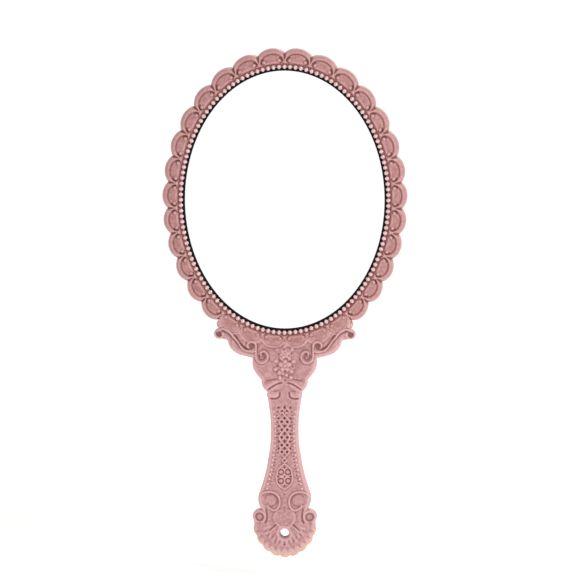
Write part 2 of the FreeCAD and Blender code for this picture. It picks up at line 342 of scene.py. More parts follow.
@dataclass(frozen=True)
class MouldedPlastic:
    """A matt moulding with a painted highlight on its raised edges and painted shade in its recesses."""

    name: str
    slot: str
    body: tuple[float, float, float]
    # raised is the painted highlight colour on raised edges; recess is the painted shade colour in recesses
    raised: tuple[float, float, float]
    recess: tuple[float, float, float]
    roughness: float = 0.52
    stipple_mm: float = 0.8
    stipple_depth: float = 0.1
    shine: float = 0.42

    def make(self) -> bpy.types.Material:
        """Build the material from noise on object coordinates, with painted highlight and painted shade read
        from the relief attribute.

        Returns:
            The material.
        """
        material = bpy.data.materials.new(self.name)
        material.use_nodes = True
        graph = Graph(material.node_tree)
        place = graph.add("ShaderNodeTexCoord", {}, {}, "Object")
        proud = graph.add(
            "ShaderNodeAttribute", {"attribute_name": "proud"}, {}, "Fac"
        )
        cloud = graph.add(
            "ShaderNodeTexNoise", {}, {"Vector": place, "Scale": 45.0, "Detail": 3.0}, "Fac"
        )
        mottle = graph.add(
            "ShaderNodeTexNoise", {}, {"Vector": place, "Scale": 560.0, "Detail": 4.0}, "Fac"
        )
        grain = graph.add(
            "ShaderNodeTexNoise",
            {},
            {"Vector": place, "Scale": 1.0 / (self.stipple_mm * MM), "Detail": 2.0},
            "Fac",
        )
        # painted shade and painted shadow: this attribute darkens the band under the beads and the walls'
        # feet, and turns the hole walls near black
        seat = graph.add("ShaderNodeAttribute", {"attribute_name": "seat"}, {}, "Fac")
        hollow = seat.step(1.1, 2.2)
        proud = proud - seat.under(1.0) * 1.1
        # painted highlight on raised edges and painted shade in recesses, both read from the relief
        edge_highlight = (proud + (mottle - 0.5) * 0.12).step(0.05, 0.60)
        recess_shade = (proud + (mottle - 0.5) * 0.16).step(-0.02, -0.55)
        tint = graph.blend(cloud.step(0.3, 0.7) * 0.35, (*self.body, 1.0), self._warm())
        tint = graph.blend(mottle.step(0.56, 0.38) * 0.70, tint, self._cool())
        tint = graph.blend(mottle.step(0.46, 0.66) * 0.80, tint, self._deep())
        tint = graph.blend(grain.step(0.50, 0.64) * 0.75, tint, self._deep())
        tint = graph.blend(recess_shade * 0.85, tint, (*self.recess, 1.0))
        tint = graph.blend(edge_highlight * 0.62, tint, (*self.raised, 1.0))
        # painted shadow: near black in the hanging hole's walls and partly along the front plate's wall foot
        tint = graph.blend(hollow * 0.95, tint, (0.085, 0.052, 0.040, 1.0))
        rough = self.roughness + (mottle - 0.5) * 0.12 - edge_highlight * 0.08 + recess_shade * 0.12
        bump = graph.add(
            "ShaderNodeBump",
            {},
            {
                "Strength": 0.8,
                "Distance": self.stipple_depth * MM,
                "Height": grain + mottle * 0.8,
            },
        )
        shader = graph.add(
            "ShaderNodeBsdfPrincipled",
            {},
            {
                "Base Color": tint,
                "Roughness": rough,
                "Normal": bump,
                "Specular IOR Level": self.shine,
                "Sheen Weight": 0.06,
                "Sheen Roughness": 0.5,
            },
        )
        graph.add("ShaderNodeOutputMaterial", {}, {"Surface": shader})
        return material

    def _warm(self) -> tuple[float, float, float, float]:
        """The body colour, a little lighter and warmer."""
        red, green, blue = self.body
        return (red * 1.08, green * 1.06, blue * 1.0, 1.0)

    def _deep(self) -> tuple[float, float, float, float]:
        """The body colour, a little deeper."""
        red, green, blue = self.body
        return (red * 0.80, green * 0.71, blue * 0.72, 1.0)

    def _cool(self) -> tuple[float, float, float, float]:
        """The body colour, paler and a little bluer."""
        red, green, blue = self.body
        return (red * 1.10, green * 1.15, blue * 1.26, 1.0)


@dataclass(frozen=True)
class SilveredGlass:
    """Float glass with its silver behind: a bright mirror with a few faint dust specks."""

    name: str = "silvered_glass"
    slot: str = "mirror"

    def make(self) -> bpy.types.Material:
        """Build a metallic mirror whose roughness varies faintly with wiping marks.

        Returns:
            The material.
        """
        material = bpy.data.materials.new(self.name)
        material.use_nodes = True
        graph = Graph(material.node_tree)
        place = graph.add("ShaderNodeTexCoord", {}, {}, "Object")
        wipe = graph.add(
            "ShaderNodeTexNoise", {}, {"Vector": place, "Scale": 30.0, "Detail": 5.0}, "Fac"
        )
        tint = graph.blend(
            wipe.step(0.3, 0.8), (0.965, 0.975, 0.972, 1.0), (0.945, 0.962, 0.958, 1.0)
        )
        shader = graph.add(
            "ShaderNodeBsdfPrincipled",
            {},
            {
                "Base Color": tint,
                "Metallic": 1.0,
                "Roughness": 0.008 + wipe.step(0.45, 0.85) * 0.02,
                "Coat Weight": 0.25,
                "Coat Roughness": 0.01,
            },
        )
        graph.add("ShaderNodeOutputMaterial", {}, {"Surface": shader})
        return material


@dataclass(frozen=True)
class PlainSheet:
    """A soft, dull stock such as rubber, foam, tape or backing paint, with its own grain."""

    name: str
    slot: str
    dark: tuple[float, float, float]
    light: tuple[float, float, float]
    roughness: float
    grain: float
    metallic: float = 0.0
    shine: float = 0.5

    def make(self) -> bpy.types.Material:
        """Build a two-tone grained material.

        Returns:
            The material.
        """
        material = bpy.data.materials.new(self.name)
        material.use_nodes = True
        graph = Graph(material.node_tree)
        place = graph.add("ShaderNodeTexCoord", {}, {}, "Object")
        grain = graph.add(
            "ShaderNodeTexNoise", {}, {"Vector": place, "Scale": self.grain, "Detail": 3.0}, "Fac"
        )
        tint = graph.blend(grain.step(0.3, 0.7), (*self.dark, 1.0), (*self.light, 1.0))
        bump = graph.add(
            "ShaderNodeBump", {}, {"Strength": 0.4, "Distance": 0.04 * MM, "Height": grain}
        )
        shader = graph.add(
            "ShaderNodeBsdfPrincipled",
            {},
            {
                "Base Color": tint,
                "Roughness": self.roughness + (grain - 0.5) * 0.15,
                "Metallic": self.metallic,
                "Specular IOR Level": self.shine,
                "Normal": bump,
            },
        )
        graph.add("ShaderNodeOutputMaterial", {}, {"Surface": shader})
        return material


ROSE = MouldedPlastic(
    "rose_moulding", "front_shell", (0.495, 0.262, 0.258), (0.72, 0.44, 0.43), (0.21, 0.075, 0.075)
)
# the rim's scallops take a darker copy of the rose moulding: painted shade
SHADED_ROSE_RIM = MouldedPlastic(
    "rose_rim_moulding", "front_shell", (0.425, 0.205, 0.192), (0.68, 0.40, 0.38), (0.185, 0.062, 0.058)
)
TAN = MouldedPlastic(
    "tan_moulding", "back_shell", (0.66, 0.395, 0.275), (0.88, 0.62, 0.45), (0.26, 0.12, 0.08),
    roughness=0.42,
)
# the beads take a paler copy of the rose moulding: painted highlight
HIGHLIGHTED_BEAD = MouldedPlastic(
    "rose_bead", "front_shell", (0.55, 0.29, 0.28), (0.85, 0.61, 0.59), (0.30, 0.11, 0.10),
    roughness=0.26, stipple_depth=0.015, shine=0.8,
)
GLASS = SilveredGlass()
GASKET = PlainSheet(
    "black_gasket", "gasket", (0.003, 0.0025, 0.003), (0.010, 0.008, 0.009), 0.75, 900.0,
    shine=0.12,
)
BACKING = PlainSheet("backing_paint", "silver", (0.22, 0.23, 0.24), (0.34, 0.35, 0.36), 0.5, 300.0)
TAPE = PlainSheet("white_tape", "tape", (0.72, 0.72, 0.69), (0.86, 0.86, 0.83), 0.8, 700.0)
FOAM = PlainSheet("grey_foam", "foam", (0.10, 0.10, 0.11), (0.24, 0.24, 0.25), 0.95, 1400.0)


# ---------------------------------------------------------------- shapes shared by the shells


@dataclass(frozen=True)
class Oval:
    """The head's oval, grown outwards from the edge of the seen glass."""

    half_width: float
    half_height: float
    centre_z: float
    lobes: int = 32
    ring_out: float = 9.8
    drift: float = 0.33

    @classmethod
    def from_glass(cls, covered: float) -> "Oval":
        """Read the oval from the glass.

        Args:
            covered: how much of the glass is hidden all round, in millimetres.

        Returns:
            The seen glass's oval.
        """
        low, high = (Vector(corner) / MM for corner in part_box("mirror_glass"))
        return cls(
            (high.x - low.x) / 2 - covered, (high.z - low.z) / 2 - covered, (high.z + low.z) / 2
        )

    def at(self, angle: np.ndarray, grow: Union[float, np.ndarray]) -> tuple[np.ndarray, np.ndarray]:
        """Points on the grown oval, at angles from the top towards the right.

        Args:
            angle: the angles from the top, in radians.
            grow: how far outside the oval, in millimetres.

        Returns:
            The points' x and z.
        """
        x = (self.half_width + grow) * np.sin(angle)
        z = self.centre_z + (self.half_height + grow) * np.cos(angle)
        return x, z

    def grown(self, x: np.ndarray, z: np.ndarray) -> np.ndarray:
        """Roughly how far outside the oval a point is, in millimetres.

        Args:
            x: how far to the right each point is.
            z: how high each point is.

        Returns:
            The distances, below zero inside the oval.
        """
        up = z - self.centre_z
        ratio = np.hypot(x / self.half_width, up / self.half_height)
        reach = np.hypot(x, up)
        return reach * (1.0 - 1.0 / np.maximum(ratio, 1e-6))

    def lobe_angle(self, lobe: Union[float, np.ndarray]) -> np.ndarray:
        """The angle at a number of scallops from the top; those at the sides sit a little low.

        Args:
            lobe: how many scallops from the top, in whole or in part.

        Returns:
            The angle from the top, in radians.
        """
        fine = np.linspace(0.0, 2.0 * math.pi, 3601)
        x, z = self.at(fine, self.ring_out)
        length = np.concatenate([[0.0], np.cumsum(np.hypot(np.diff(x), np.diff(z)))])
        turn = 2.0 * math.pi * np.asarray(lobe) / self.lobes
        place = (lobe + self.drift * np.sin(turn)) / self.lobes
        return np.interp(place * length[-1], length, fine)

    def on_lobes(self, lobe: Union[float, np.ndarray], grow: Union[float, np.ndarray]) -> np.ndarray:
        """Points at numbers of scallops from the top, on the grown oval."""
        return np.column_stack(self.at(np.atleast_1d(self.lobe_angle(lobe)), grow))


def smooth_path(points: Sequence[Point], per_span: int = 8) -> np.ndarray:
    """A rounded line through points.

    Args:
        points: the points it passes through, in order.
        per_span: how many short runs stand between two points.

    Returns:
        The line's own points, one row each.
    """
    knots = np.array(points, dtype=float)
    padded = np.vstack([2 * knots[0] - knots[1], knots, 2 * knots[-1] - knots[-2]])
    steps = np.linspace(0.0, 1.0, per_span, endpoint=False)[:, None]
    rows = []
    for a, b, c, d in zip(padded, padded[1:], padded[2:], padded[3:]):
        curve = (
            2 * b + (c - a) * steps + (2 * a - 5 * b + 4 * c - d) * steps**2
            + (3 * b - a - 3 * c + d) * steps**3
        )
        rows.append(curve / 2)
    rows.append(knots[-1:])
    return np.vstack(rows)


def arc_path(x: float, z: float, radius: float, start: float, end: float, count: int = 24) -> np.ndarray:
    """Points along an arc between two angles in degrees, measured from +X towards +Z."""
    angles = np.radians(np.linspace(start, end, count))
    return np.column_stack([x + radius * np.cos(angles), z + radius * np.sin(angles)])


def spiral_path(
    x: float, z: float, outer: float, inner: float, start: float, turn: float, count: int = 30
) -> np.ndarray:
    """Points along a spiral that winds in from an outer to an inner radius over an angle.

    Args:
        x: the middle's place to the right, in millimetres.
        z: the middle's height, in millimetres.
        outer: the radius where it starts.
        inner: the radius where it ends.
        start: the angle where it starts, in degrees.
        turn: the angle it winds over, in degrees.
        count: how many points it has.

    Returns:
        The points, one row each.
    """
    share = np.linspace(0.0, 1.0, count)
    radius = outer + (inner - outer) * share
    angles = np.radians(start + turn * share)
    return np.column_stack([x + radius * np.cos(angles), z + radius * np.sin(angles)])


def mirrored(path: np.ndarray) -> np.ndarray:
    """The same path on the other side of the centre line."""
    return np.asarray(path, dtype=float) * np.array([-1.0, 1.0])


def ease(value: np.ndarray, low: float, high: float) -> np.ndarray:
    """A smooth step from 0 at low to 1 at high; low may be the larger one."""
    share = np.clip((value - low) / (high - low), 0.0, 1.0)
    return share * share * (3.0 - 2.0 * share)


class Carving:
    """Relief laid on a field of points: raised work is joined by its highest part, cuts add up."""

    def __init__(self, x: np.ndarray, z: np.ndarray) -> None:
        """Start with flat relief over the points.

        Args:
            x: how far to the right each point is.
            z: how high each point is.
        """
        self.x = x
        self.z = z
        self.raised = np.zeros_like(x)
        self.cut = np.zeros_like(x)
        self.ground = np.zeros_like(x)

    def _near(self, path: np.ndarray, reach: float) -> tuple[np.ndarray, np.ndarray, np.ndarray]:
        """Points near a path, how far off it they are and how far along it they are from 0 to 1.

        Args:
            path: the path, one row for each point.
            reach: how far off the path to look.

        Returns:
            Which points are near, how far off each is, and how far along.
        """
        low = path.min(axis=0) - reach
        high = path.max(axis=0) + reach
        inside = (self.x > low[0]) & (self.x < high[0]) & (self.z > low[1]) & (self.z < high[1])
        index = np.nonzero(inside)[0]
        best = np.full(len(index), np.inf)
        along = np.zeros(len(index))
        spans = np.hypot(*np.diff(path, axis=0).T)
        ends = np.concatenate([[0.0], np.cumsum(spans)])
        px = self.x[index]
        pz = self.z[index]
        for number, (start, end) in enumerate(zip(path, path[1:])):
            run = end - start
            square = max(float(run @ run), 1e-12)
            share = np.clip(((px - start[0]) * run[0] + (pz - start[1]) * run[1]) / square, 0.0, 1.0)
            off = np.hypot(px - start[0] - share * run[0], pz - start[1] - share * run[1])
            closer = off < best
            best[closer] = off[closer]
            along[closer] = (ends[number] + share[closer] * spans[number]) / max(ends[-1], 1e-9)
        return index, best, along

    def ridge(self, path: np.ndarray, half_width: float, height: float, taper: float = 0.0) -> None:
        """Raise a half-round line.

        Args:
            path: the line's points.
            half_width: half its width.
            height: how far it stands up.
            taper: the share of the width lost towards both ends.
        """
        index, off, along = self._near(path, half_width)
        width = half_width * (1.0 - taper * (2.0 * np.abs(along - 0.5)) ** 2)
        swell = np.sqrt(np.clip(1.0 - (off / width) ** 2, 0.0, 1.0))
        share = width / half_width
        self.raised[index] = np.maximum(self.raised[index], height * share * swell)

    def groove(self, path: np.ndarray, half_width: float, depth: float) -> None:
        """Cut a soft line that fades at both ends.

        Args:
            path: the line to cut along.
            half_width: half its width.
            depth: its depth in the middle.
        """
        index, off, along = self._near(path, 2.5 * half_width)
        fade = np.clip(np.minimum(along, 1.0 - along) * 6.0 + 0.35, 0.0, 1.0)
        self.cut[index] = np.maximum(self.cut[index], depth * fade * np.exp(-((off / half_width) ** 2)))

    def _local(self, x: float, z: float, turn: float) -> tuple[np.ndarray, np.ndarray]:
        """The points seen from a centre, turned by an angle in degrees.

        Args:
            x: the middle's place to the right, in millimetres.
            z: the middle's height, in millimetres.
            turn: the angle, in degrees.

        Returns:
            The points' places along and across the turned axis.
        """
        angle = math.radians(turn)
        dx = self.x - x
        dz = self.z - z
        return dx * math.cos(angle) + dz * math.sin(angle), dz * math.cos(angle) - dx * math.sin(angle)

    def dome(
        self, x: float, z: float, long: float, short: float, height: float, turn: float = 0.0
    ) -> None:
        """Raise a rounded boss; its long half axis points along the turn angle.

        Args:
            x: the middle's place to the right, in millimetres.
            z: the middle's height, in millimetres.
            long: its long half axis.
            short: its short half axis.
            height: its height.
            turn: the angle of its long axis, in degrees.
        """
        u, v = self._local(x, z, turn)
        swell = np.sqrt(np.clip(1.0 - (u / long) ** 2 - (v / short) ** 2, 0.0, 1.0))
        self.raised = np.maximum(self.raised, height * swell)

    def swell(
        self, x: float, z: float, long: float, short: float, height: float, turn: float = 0.0
    ) -> None:
        """Raise a soft cushion that fades into the ground, added to what is there.

        Args:
            x: the middle's place to the right, in millimetres.
            z: the middle's height, in millimetres.
            long: its long half axis.
            short: its short half axis.
            height: its height.
            turn: the angle of its long axis, in degrees.
        """
        u, v = self._local(x, z, turn)
        share = np.clip(1.0 - (u / long) ** 2 - (v / short) ** 2, 0.0, 1.0)
        self.ground = self.ground + height * share * share * (3.0 - 2.0 * share)

    def leaf(
        self, x: float, z: float, long: float, wide: float, height: float, turn: float
    ) -> None:
        """Raise a pointed leaf with a sunk midrib and faint side veins, its tip along the turn angle.

        Args:
            x: the foot's place to the right, in millimetres.
            z: the foot's height, in millimetres.
            long: its length.
            wide: its half width.
            height: its height.
            turn: the angle its tip points along, in degrees.
        """
        u, v = self._local(x, z, turn)
        share = np.clip(u / long, 0.0, 1.0)
        width = wide * np.sin(math.pi * share**0.8) ** 0.8 + 1e-6
        inside = (u > 0.0) & (u < long) & (np.abs(v) < width)
        swell = np.where(inside, np.sqrt(np.clip(1.0 - (v / width) ** 2, 0.0, 1.0)), 0.0)
        rib = np.exp(-((v / (0.16 * wide)) ** 2)) * 0.45
        veins = 0.12 * np.cos((np.abs(v) * 0.9 + u) * (2.0 * math.pi * 5.0 / long))
        body = height * swell * (1.0 - rib + veins * swell)
        self.raised = np.where(inside, np.maximum(self.raised, body), self.raised)

    def dish(self, x: float, z: float, radius: float, depth: float) -> None:
        """Sink a round hollow with soft sides."""
        off = np.hypot(self.x - x, self.z - z)
        self.cut = np.maximum(self.cut, depth * ease(off, radius, radius * 0.72))

    def pits(self, places: Sequence[Point], radius: float, depth: float) -> None:
        """Sink several small round holes."""
        for x, z in places:
            off = np.hypot(self.x - x, self.z - z)
            self.cut = np.maximum(self.cut, depth * np.exp(-((off / radius) ** 2)))

    def both(self, path: np.ndarray, half_width: float, height: float, taper: float = 0.0) -> None:
        """Raise a line and its mirror image."""
        self.ridge(path, half_width, height, taper)
        self.ridge(mirrored(path), half_width, height, taper)

    def both_grooves(self, path: np.ndarray, half_width: float, depth: float) -> None:
        """Cut a line and its mirror image."""
        self.groove(path, half_width, depth)
        self.groove(mirrored(path), half_width, depth)

    def result(self) -> np.ndarray:
        """The relief's height over the ground."""
        return self.ground + self.raised - self.cut


def mark_relief(mesh: bpy.types.Mesh, rounds: int = 26, full_mm: float = 0.32) -> None:
    """Store on each vertex how far it stands proud of what is round it, from -1 to 1.

    Args:
        mesh: the mesh to mark, in metres.
        rounds: how often its shape is averaged with its neighbours; more rounds look further.
        full_mm: the height that counts as fully proud.
    """
    count = len(mesh.vertices)
    places = np.empty(count * 3)
    mesh.vertices.foreach_get("co", places)
    places = places.reshape(-1, 3)
    normals = np.empty(count * 3)
    mesh.vertices.foreach_get("normal", normals)
    normals = normals.reshape(-1, 3)
    edges = np.empty(len(mesh.edges) * 2, dtype=np.int64)
    mesh.edges.foreach_get("vertices", edges)
    start, end = edges.reshape(-1, 2).T
    degree = np.maximum(np.bincount(start, minlength=count) + np.bincount(end, minlength=count), 1)
    blurred = places.copy()
    for _ in range(rounds):
        total = np.empty_like(blurred)
        for axis in range(3):
            column = blurred[:, axis]
            total[:, axis] = np.bincount(start, column[end], count) + np.bincount(end, column[start], count)
        blurred = 0.5 * blurred + 0.5 * total / degree[:, None]
    proud = np.einsum("ij,ij->i", places - blurred, normals) / (full_mm * MM)
    attribute = mesh.attributes.new("proud", "FLOAT", "POINT")
    attribute.data.foreach_set("value", np.clip(proud, -1.0, 1.0).astype(np.float32))


def settle(piece: bpy.types.Object, slot: str, replaces: Sequence[str] = ()) -> bpy.types.Object:
    """Weld, smooth, mark and hand over a finished piece.

    Args:
        piece: the piece's object.
        slot: the record's material slot; not used.
        replaces: the CAD nodes that the piece stands for.

    Returns:
        The same piece.
    """
    work = bmesh.new()
    work.from_mesh(piece.data)
    bmesh.ops.remove_doubles(work, verts=work.verts, dist=0.004 * MM)
    bmesh.ops.recalc_face_normals(work, faces=work.faces)
    work.to_mesh(piece.data)
    work.free()
    piece.data.polygons.foreach_set("use_smooth", np.ones(len(piece.data.polygons), dtype=bool))
    piece.data.update()
    mark_relief(piece.data)
    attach(piece, BODY)
    if replaces:
        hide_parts(*replaces)
    faces = len(piece.data.polygons)
    LOG.info("%s: %d faces", piece.name, faces)
    return piece


# ---------------------------------------------------------------- the scalloped rim


@dataclass
class Rim:
    """One shell's ring of scallops, each an arch that ends in two small curls."""

    oval: Oval
    side: Side
    finish: MouldedPlastic
    tip_out: float = 11.15
    lobe_long: float = 7.6
    heel_out: float = 5.2
    lip_out: float = 1.55
    pocket_out: float = 3.5
    rebate: float = 3.6
    wall: float = 1.7
    crest: float = 4.55
    inner_rise: float = 0.12
    edge_round: float = 1.7
    arch_half_wide: float = 4.75
    arch_high: float = 3.15
    knob_along: float = 3.75
    knob_out: float = 5.1
    knob_radius: float = 0.85
    heel_knob_out: float = 4.3
    heel_knob_radius: float = 0.8
    runs_per_lobe: int = 38
    rows: int = 46

    def tree(self) -> GeometryGraph:
        """Write the rim's rule as a Geometry Nodes tree.

        Returns:
            The tree, ready to grow.
        """
        tree = GeometryGraph("scalloped_rim", self.sizes())
        a, b = tree.size("Half Width"), tree.size("Half Height")
        lobes, tip = tree.size("Lobes"), tree.size("Tip Out")
        heel, long = tree.size("Heel Out"), tree.size("Lobe Long")
        lip, pocket = tree.size("Lip Out"), tree.size("Pocket Out")
        wall = tree.size("Wall")
        runs = lobes * tree.size("Runs Per Lobe")
        rows = tree.size("Rows")
        closing = 6
        grid = tree.add(
            "GeometryNodeMeshGrid",
            {},
            {"Size X": 1.0, "Size Y": 1.0, "Vertices X": runs + 1, "Vertices Y": rows + closing + 1},
        )
        place = tree.add("GeometryNodeInputPosition")
        flat = tree.add("ShaderNodeSeparateXYZ", {}, {0: place})
        u = flat + 0.5
        row = ((tree.other(flat, 1) + 0.5) * (rows + closing)).maths("ROUND")
        sine, cosine, pitch = self._around(tree, a, b, lobes, u)
        turn = u * (2.0 * math.pi)
        drift = tree.size("Drift")
        slip = drift * turn.maths("SINE") * (1.0 - turn.maths("COSINE") * drift * 2.0 * math.pi / lobes)
        q = ((u * lobes - slip).maths("FRACT") - 0.5) * 2.0
        across = q * pitch / 2.0
        height_over_heel = tip - heel
        reach = heel + height_over_heel * (1.0 - (across / long) * (across / long)).root()
        share = (row / rows).under(1.0)
        out = lip + (reach - lip) * (1.0 - (1.0 - share) ** 1.25)
        tall = self._relief(tree, out, across * (1.0 - (9.8 - out) / 66.0), pitch / 2.0)
        lip_tall = self._relief(tree, lip + u * 0.0, across * 0.87, pitch / 2.0)
        closings = (
            (reach, wall * 0.5),
            (reach, 0.0),
            (pocket, 0.0),
            (pocket, tree.size("Rebate")),
            (lip, tree.size("Rebate")),
            (lip, lip_tall),
        )
        front = (rows + 0.5 - row).over(0.0).maths("CEIL").under(1.0)
        out = out * front
        tall = tall * front
        for number, (closing_out, closing_tall) in enumerate(closings, 1):
            here = 1.0 - abs(row - (rows + number)).under(1.0)
            out = out + here * closing_out
            tall = tall + here * closing_tall
        x = (a + out) * sine
        z = tree.size("Centre Z") + (b + out) * cosine
        # painted shade: darkest at the inner lip, fading out across the band beside the beads
        seat = out.step(4.6, 3.1) * 0.38 + out.step(3.2, 2.7) * 0.62
        shaded = tree.add(
            "GeometryNodeStoreNamedAttribute",
            {"data_type": "FLOAT", "domain": "POINT"},
            {"Geometry": grid, "Name": "seat", "Value": seat},
        )
        moved = tree.add(
            "GeometryNodeSetPosition",
            {},
            {
                "Geometry": shaded,
                "Position": tree.add(
                    "ShaderNodeCombineXYZ", {}, {0: x, 1: tall * tree.size("Facing"), 2: z}
                ),
            },
        )
        welded = tree.add("GeometryNodeMergeByDistance", {}, {"Geometry": moved, "Distance": 0.003})
        tree.end(welded)
        return tree

    def _around(
        self, tree: GeometryGraph, a: Term, b: Term, lobes: Term, u: Term
    ) -> tuple[Term, Term, Term]:
        """Sample the oval evenly along its length, so that the scallops are equally wide.

        Args:
            tree: the tree to add to.
            a: the oval's half width.
            b: the oval's half height.
            lobes: how many scallops go round.
            u: the share of the way round.

        Returns:
            The sine and cosine of the angle there, and one scallop's width.
        """
        ring = tree.size("Ring Out")
        circle = tree.add("GeometryNodeCurvePrimitiveCircle", {}, {"Resolution": 1440, "Radius": 1.0})
        on_circle = tree.add("ShaderNodeSeparateXYZ", {}, {0: tree.add("GeometryNodeInputPosition")})
        oval = tree.add(
            "GeometryNodeSetPosition",
            {},
            {
                "Geometry": circle,
                "Position": tree.add(
                    "ShaderNodeCombineXYZ",
                    {},
                    {0: (a + ring) * tree.other(on_circle, 1), 1: 0.0, 2: (b + ring) * on_circle},
                ),
            },
        )
        sample = tree.add(
            "GeometryNodeSampleCurve",
            {"mode": "FACTOR"},
            {"Curves": oval, "Factor": u.over(0.0).under(1.0)},
            "Position",
        )
        spot = tree.add("ShaderNodeSeparateXYZ", {}, {0: sample})
        length = tree.add("GeometryNodeCurveLength", {}, {"Curve": oval})
        return spot / (a + ring), tree.other(spot, 2) / (b + ring), length / lobes

    def _relief(self, tree: GeometryGraph, out: Term, across: Term, half_pitch: Term) -> Term:
        """How far the rim stands from the joint plane.

        Args:
            tree: the tree to add to.
            out: how far out from the glass edge.
            across: how far along the rim from the scallop's middle.
            half_pitch: half a scallop's width.

        Returns:
            The height over the joint plane.
        """
        heel, long = tree.size("Heel Out"), tree.size("Lobe Long")
        tip, wall, crest = tree.size("Tip Out"), tree.size("Wall"), tree.size("Crest")
        wide = abs(across)
        over_heel = (out - heel).over(0.0)
        edge = ((across / long) ** 2.0 + (over_heel / (tip - heel)) ** 2.0).root()
        rim_gap = (1.0 - edge) * (tip - heel)
        round_over = (1.0 - (1.0 - (rim_gap / self.edge_round).over(0.0).under(1.0)) ** 2.0).root()
        arch = ((across / self.arch_half_wide) ** 2.0 + (over_heel / self.arch_high) ** 2.0).root()
        by_knob = wide.step(2.4, 3.8) * out.step(7.4, 6.2)
        line = ((arch - 1.0) * 3.9).bell(0.52) * out.step(4.3, 5.2) * (0.52 + 0.30 * by_knob)
        panel = arch.step(1.0, 0.80) * out.step(3.6, 4.8)
        swell = (1.0 - arch * arch).over(0.0) * panel
        knob_gap = ((wide - self.knob_along) ** 2.0 + (out - self.knob_out) ** 2.0).root()
        knob = (1.0 - (knob_gap / self.knob_radius) ** 2.0).root()
        moat = (knob_gap - 1.15).bell(0.32) * (wide - self.knob_along).step(-0.9, 0.3)
        heel_gap = ((wide - half_pitch * 0.93) ** 2.0 + (out - self.heel_knob_out) ** 2.0).root()
        heel_knob = (1.0 - (heel_gap / self.heel_knob_radius) ** 2.0).root()
        meet = (half_pitch * 0.95 - wide).bell(0.36) * out.step(5.0, 6.4)
        ground = crest + 0.42 - 0.125 * (out - 3.4) - 0.5 * out.step(9.0, 11.6)
        ground = ground + tree.size("Inner Rise") * out.step(7.0, 3.4) - 1.15 * out.step(4.4, 2.6)
        relief = 0.24 * swell - 0.24 * panel - line + 0.75 * knob - 0.50 * moat
        relief = relief - 0.75 * meet + 0.45 * heel_knob
        tall = ground + relief
        inner_round = (1.0 - (1.0 - ((out - tree.size("Lip Out")) / 0.5).under(1.0)) ** 2.0).root()
        tall = tall - 0.5 * (1.0 - inner_round)
        return wall + (tall - wall) * round_over

    def sizes(self) -> dict[str, float]:
        """The tree's named inputs."""
        return {
            "Half Width": self.oval.half_width,
            "Half Height": self.oval.half_height,
            "Centre Z": self.oval.centre_z,
            "Facing": self.side.value,
            "Lobes": self.oval.lobes,
            "Drift": self.oval.drift,
            "Runs Per Lobe": self.runs_per_lobe,
            "Rows": self.rows,
            "Ring Out": self.oval.ring_out,
            "Tip Out": self.tip_out,
            "Lobe Long": self.lobe_long,
            "Heel Out": self.heel_out,
            "Lip Out": self.lip_out,
            "Pocket Out": self.pocket_out,
            "Rebate": self.rebate,
            "Wall": self.wall,
            "Crest": self.crest,
            "Inner Rise": self.inner_rise,
        }

    def build(self, tree: GeometryGraph, name: str, replaces: Sequence[str] = ()) -> bpy.types.Object:
        """Grow the rim and hand it over."""
        piece = tree.grow(name, self.sizes(), self.finish.make())
        return settle(piece, self.finish.slot, replaces)


# ---------------------------------------------------------------- rows of beads


@dataclass
class BeadRow:
    """Small rounded beads set evenly along a path."""

    finish: MouldedPlastic
    radius: float
    count: int
    stretch: float = 1.0

    def tree(self) -> GeometryGraph:
        """Write the rule: even points on the curve, a low ball on each, turned along the path.

        Returns:
            The tree, ready to grow.
        """
        sizes = {"Radius": self.radius, "Count": float(self.count), "Stretch": self.stretch}
        tree = GeometryGraph("bead_row", sizes, takes_geometry=True)
        radius = tree.size("Radius")
        spots = tree.add(
            "GeometryNodeCurveToPoints",
            {"mode": "COUNT"},
            {"Curve": tree.size("Geometry"), "Count": tree.size("Count")},
        )
        turned = tree.add(
            "FunctionNodeAxesToRotation",
            {"primary_axis": "X", "secondary_axis": "Y"},
            {"Primary Axis": tree.other(spots, "Tangent"), "Secondary Axis": (0.0, 1.0, 0.0)},
        )
        ball = tree.add(
            "GeometryNodeMeshUVSphere", {}, {"Segments": 12, "Rings": 7, "Radius": radius}
        )
        set_on = tree.add(
            "GeometryNodeInstanceOnPoints",
            {},
            {
                "Points": spots,
                "Instance": ball,
                "Rotation": turned,
                "Scale": tree.add("ShaderNodeCombineXYZ", {}, {0: 1.0, 1: 1.0, 2: tree.size("Stretch")}),
            },
        )
        tree.end(set_on)
        return tree

    def build(
        self, tree: GeometryGraph, name: str, rows: Sequence[np.ndarray], closed: bool
    ) -> bpy.types.Object:
        """Lay the beads along one or more paths.

        Args:
            tree: the bead tree.
            name: the new piece's name.
            rows: for each path its points, three columns in millimetres.
            closed: whether each path joins its own start.

        Returns:
            The piece.
        """
        curve = bpy.data.curves.new(name + "_path", "CURVE")
        curve.dimensions = "3D"
        for path in rows:
            spline = curve.splines.new("POLY")
            spline.points.add(len(path) - 1)
            spline.points.foreach_set("co", np.column_stack([path, np.ones(len(path))]).ravel())
            spline.use_cyclic_u = closed
        values = {"Radius": self.radius, "Count": self.count, "Stretch": self.stretch}
        piece = tree.grow(name, values, self.finish.make(), curve)
        return settle(piece, self.finish.slot)


# ---------------------------------------------------------------- outlines and relief fields


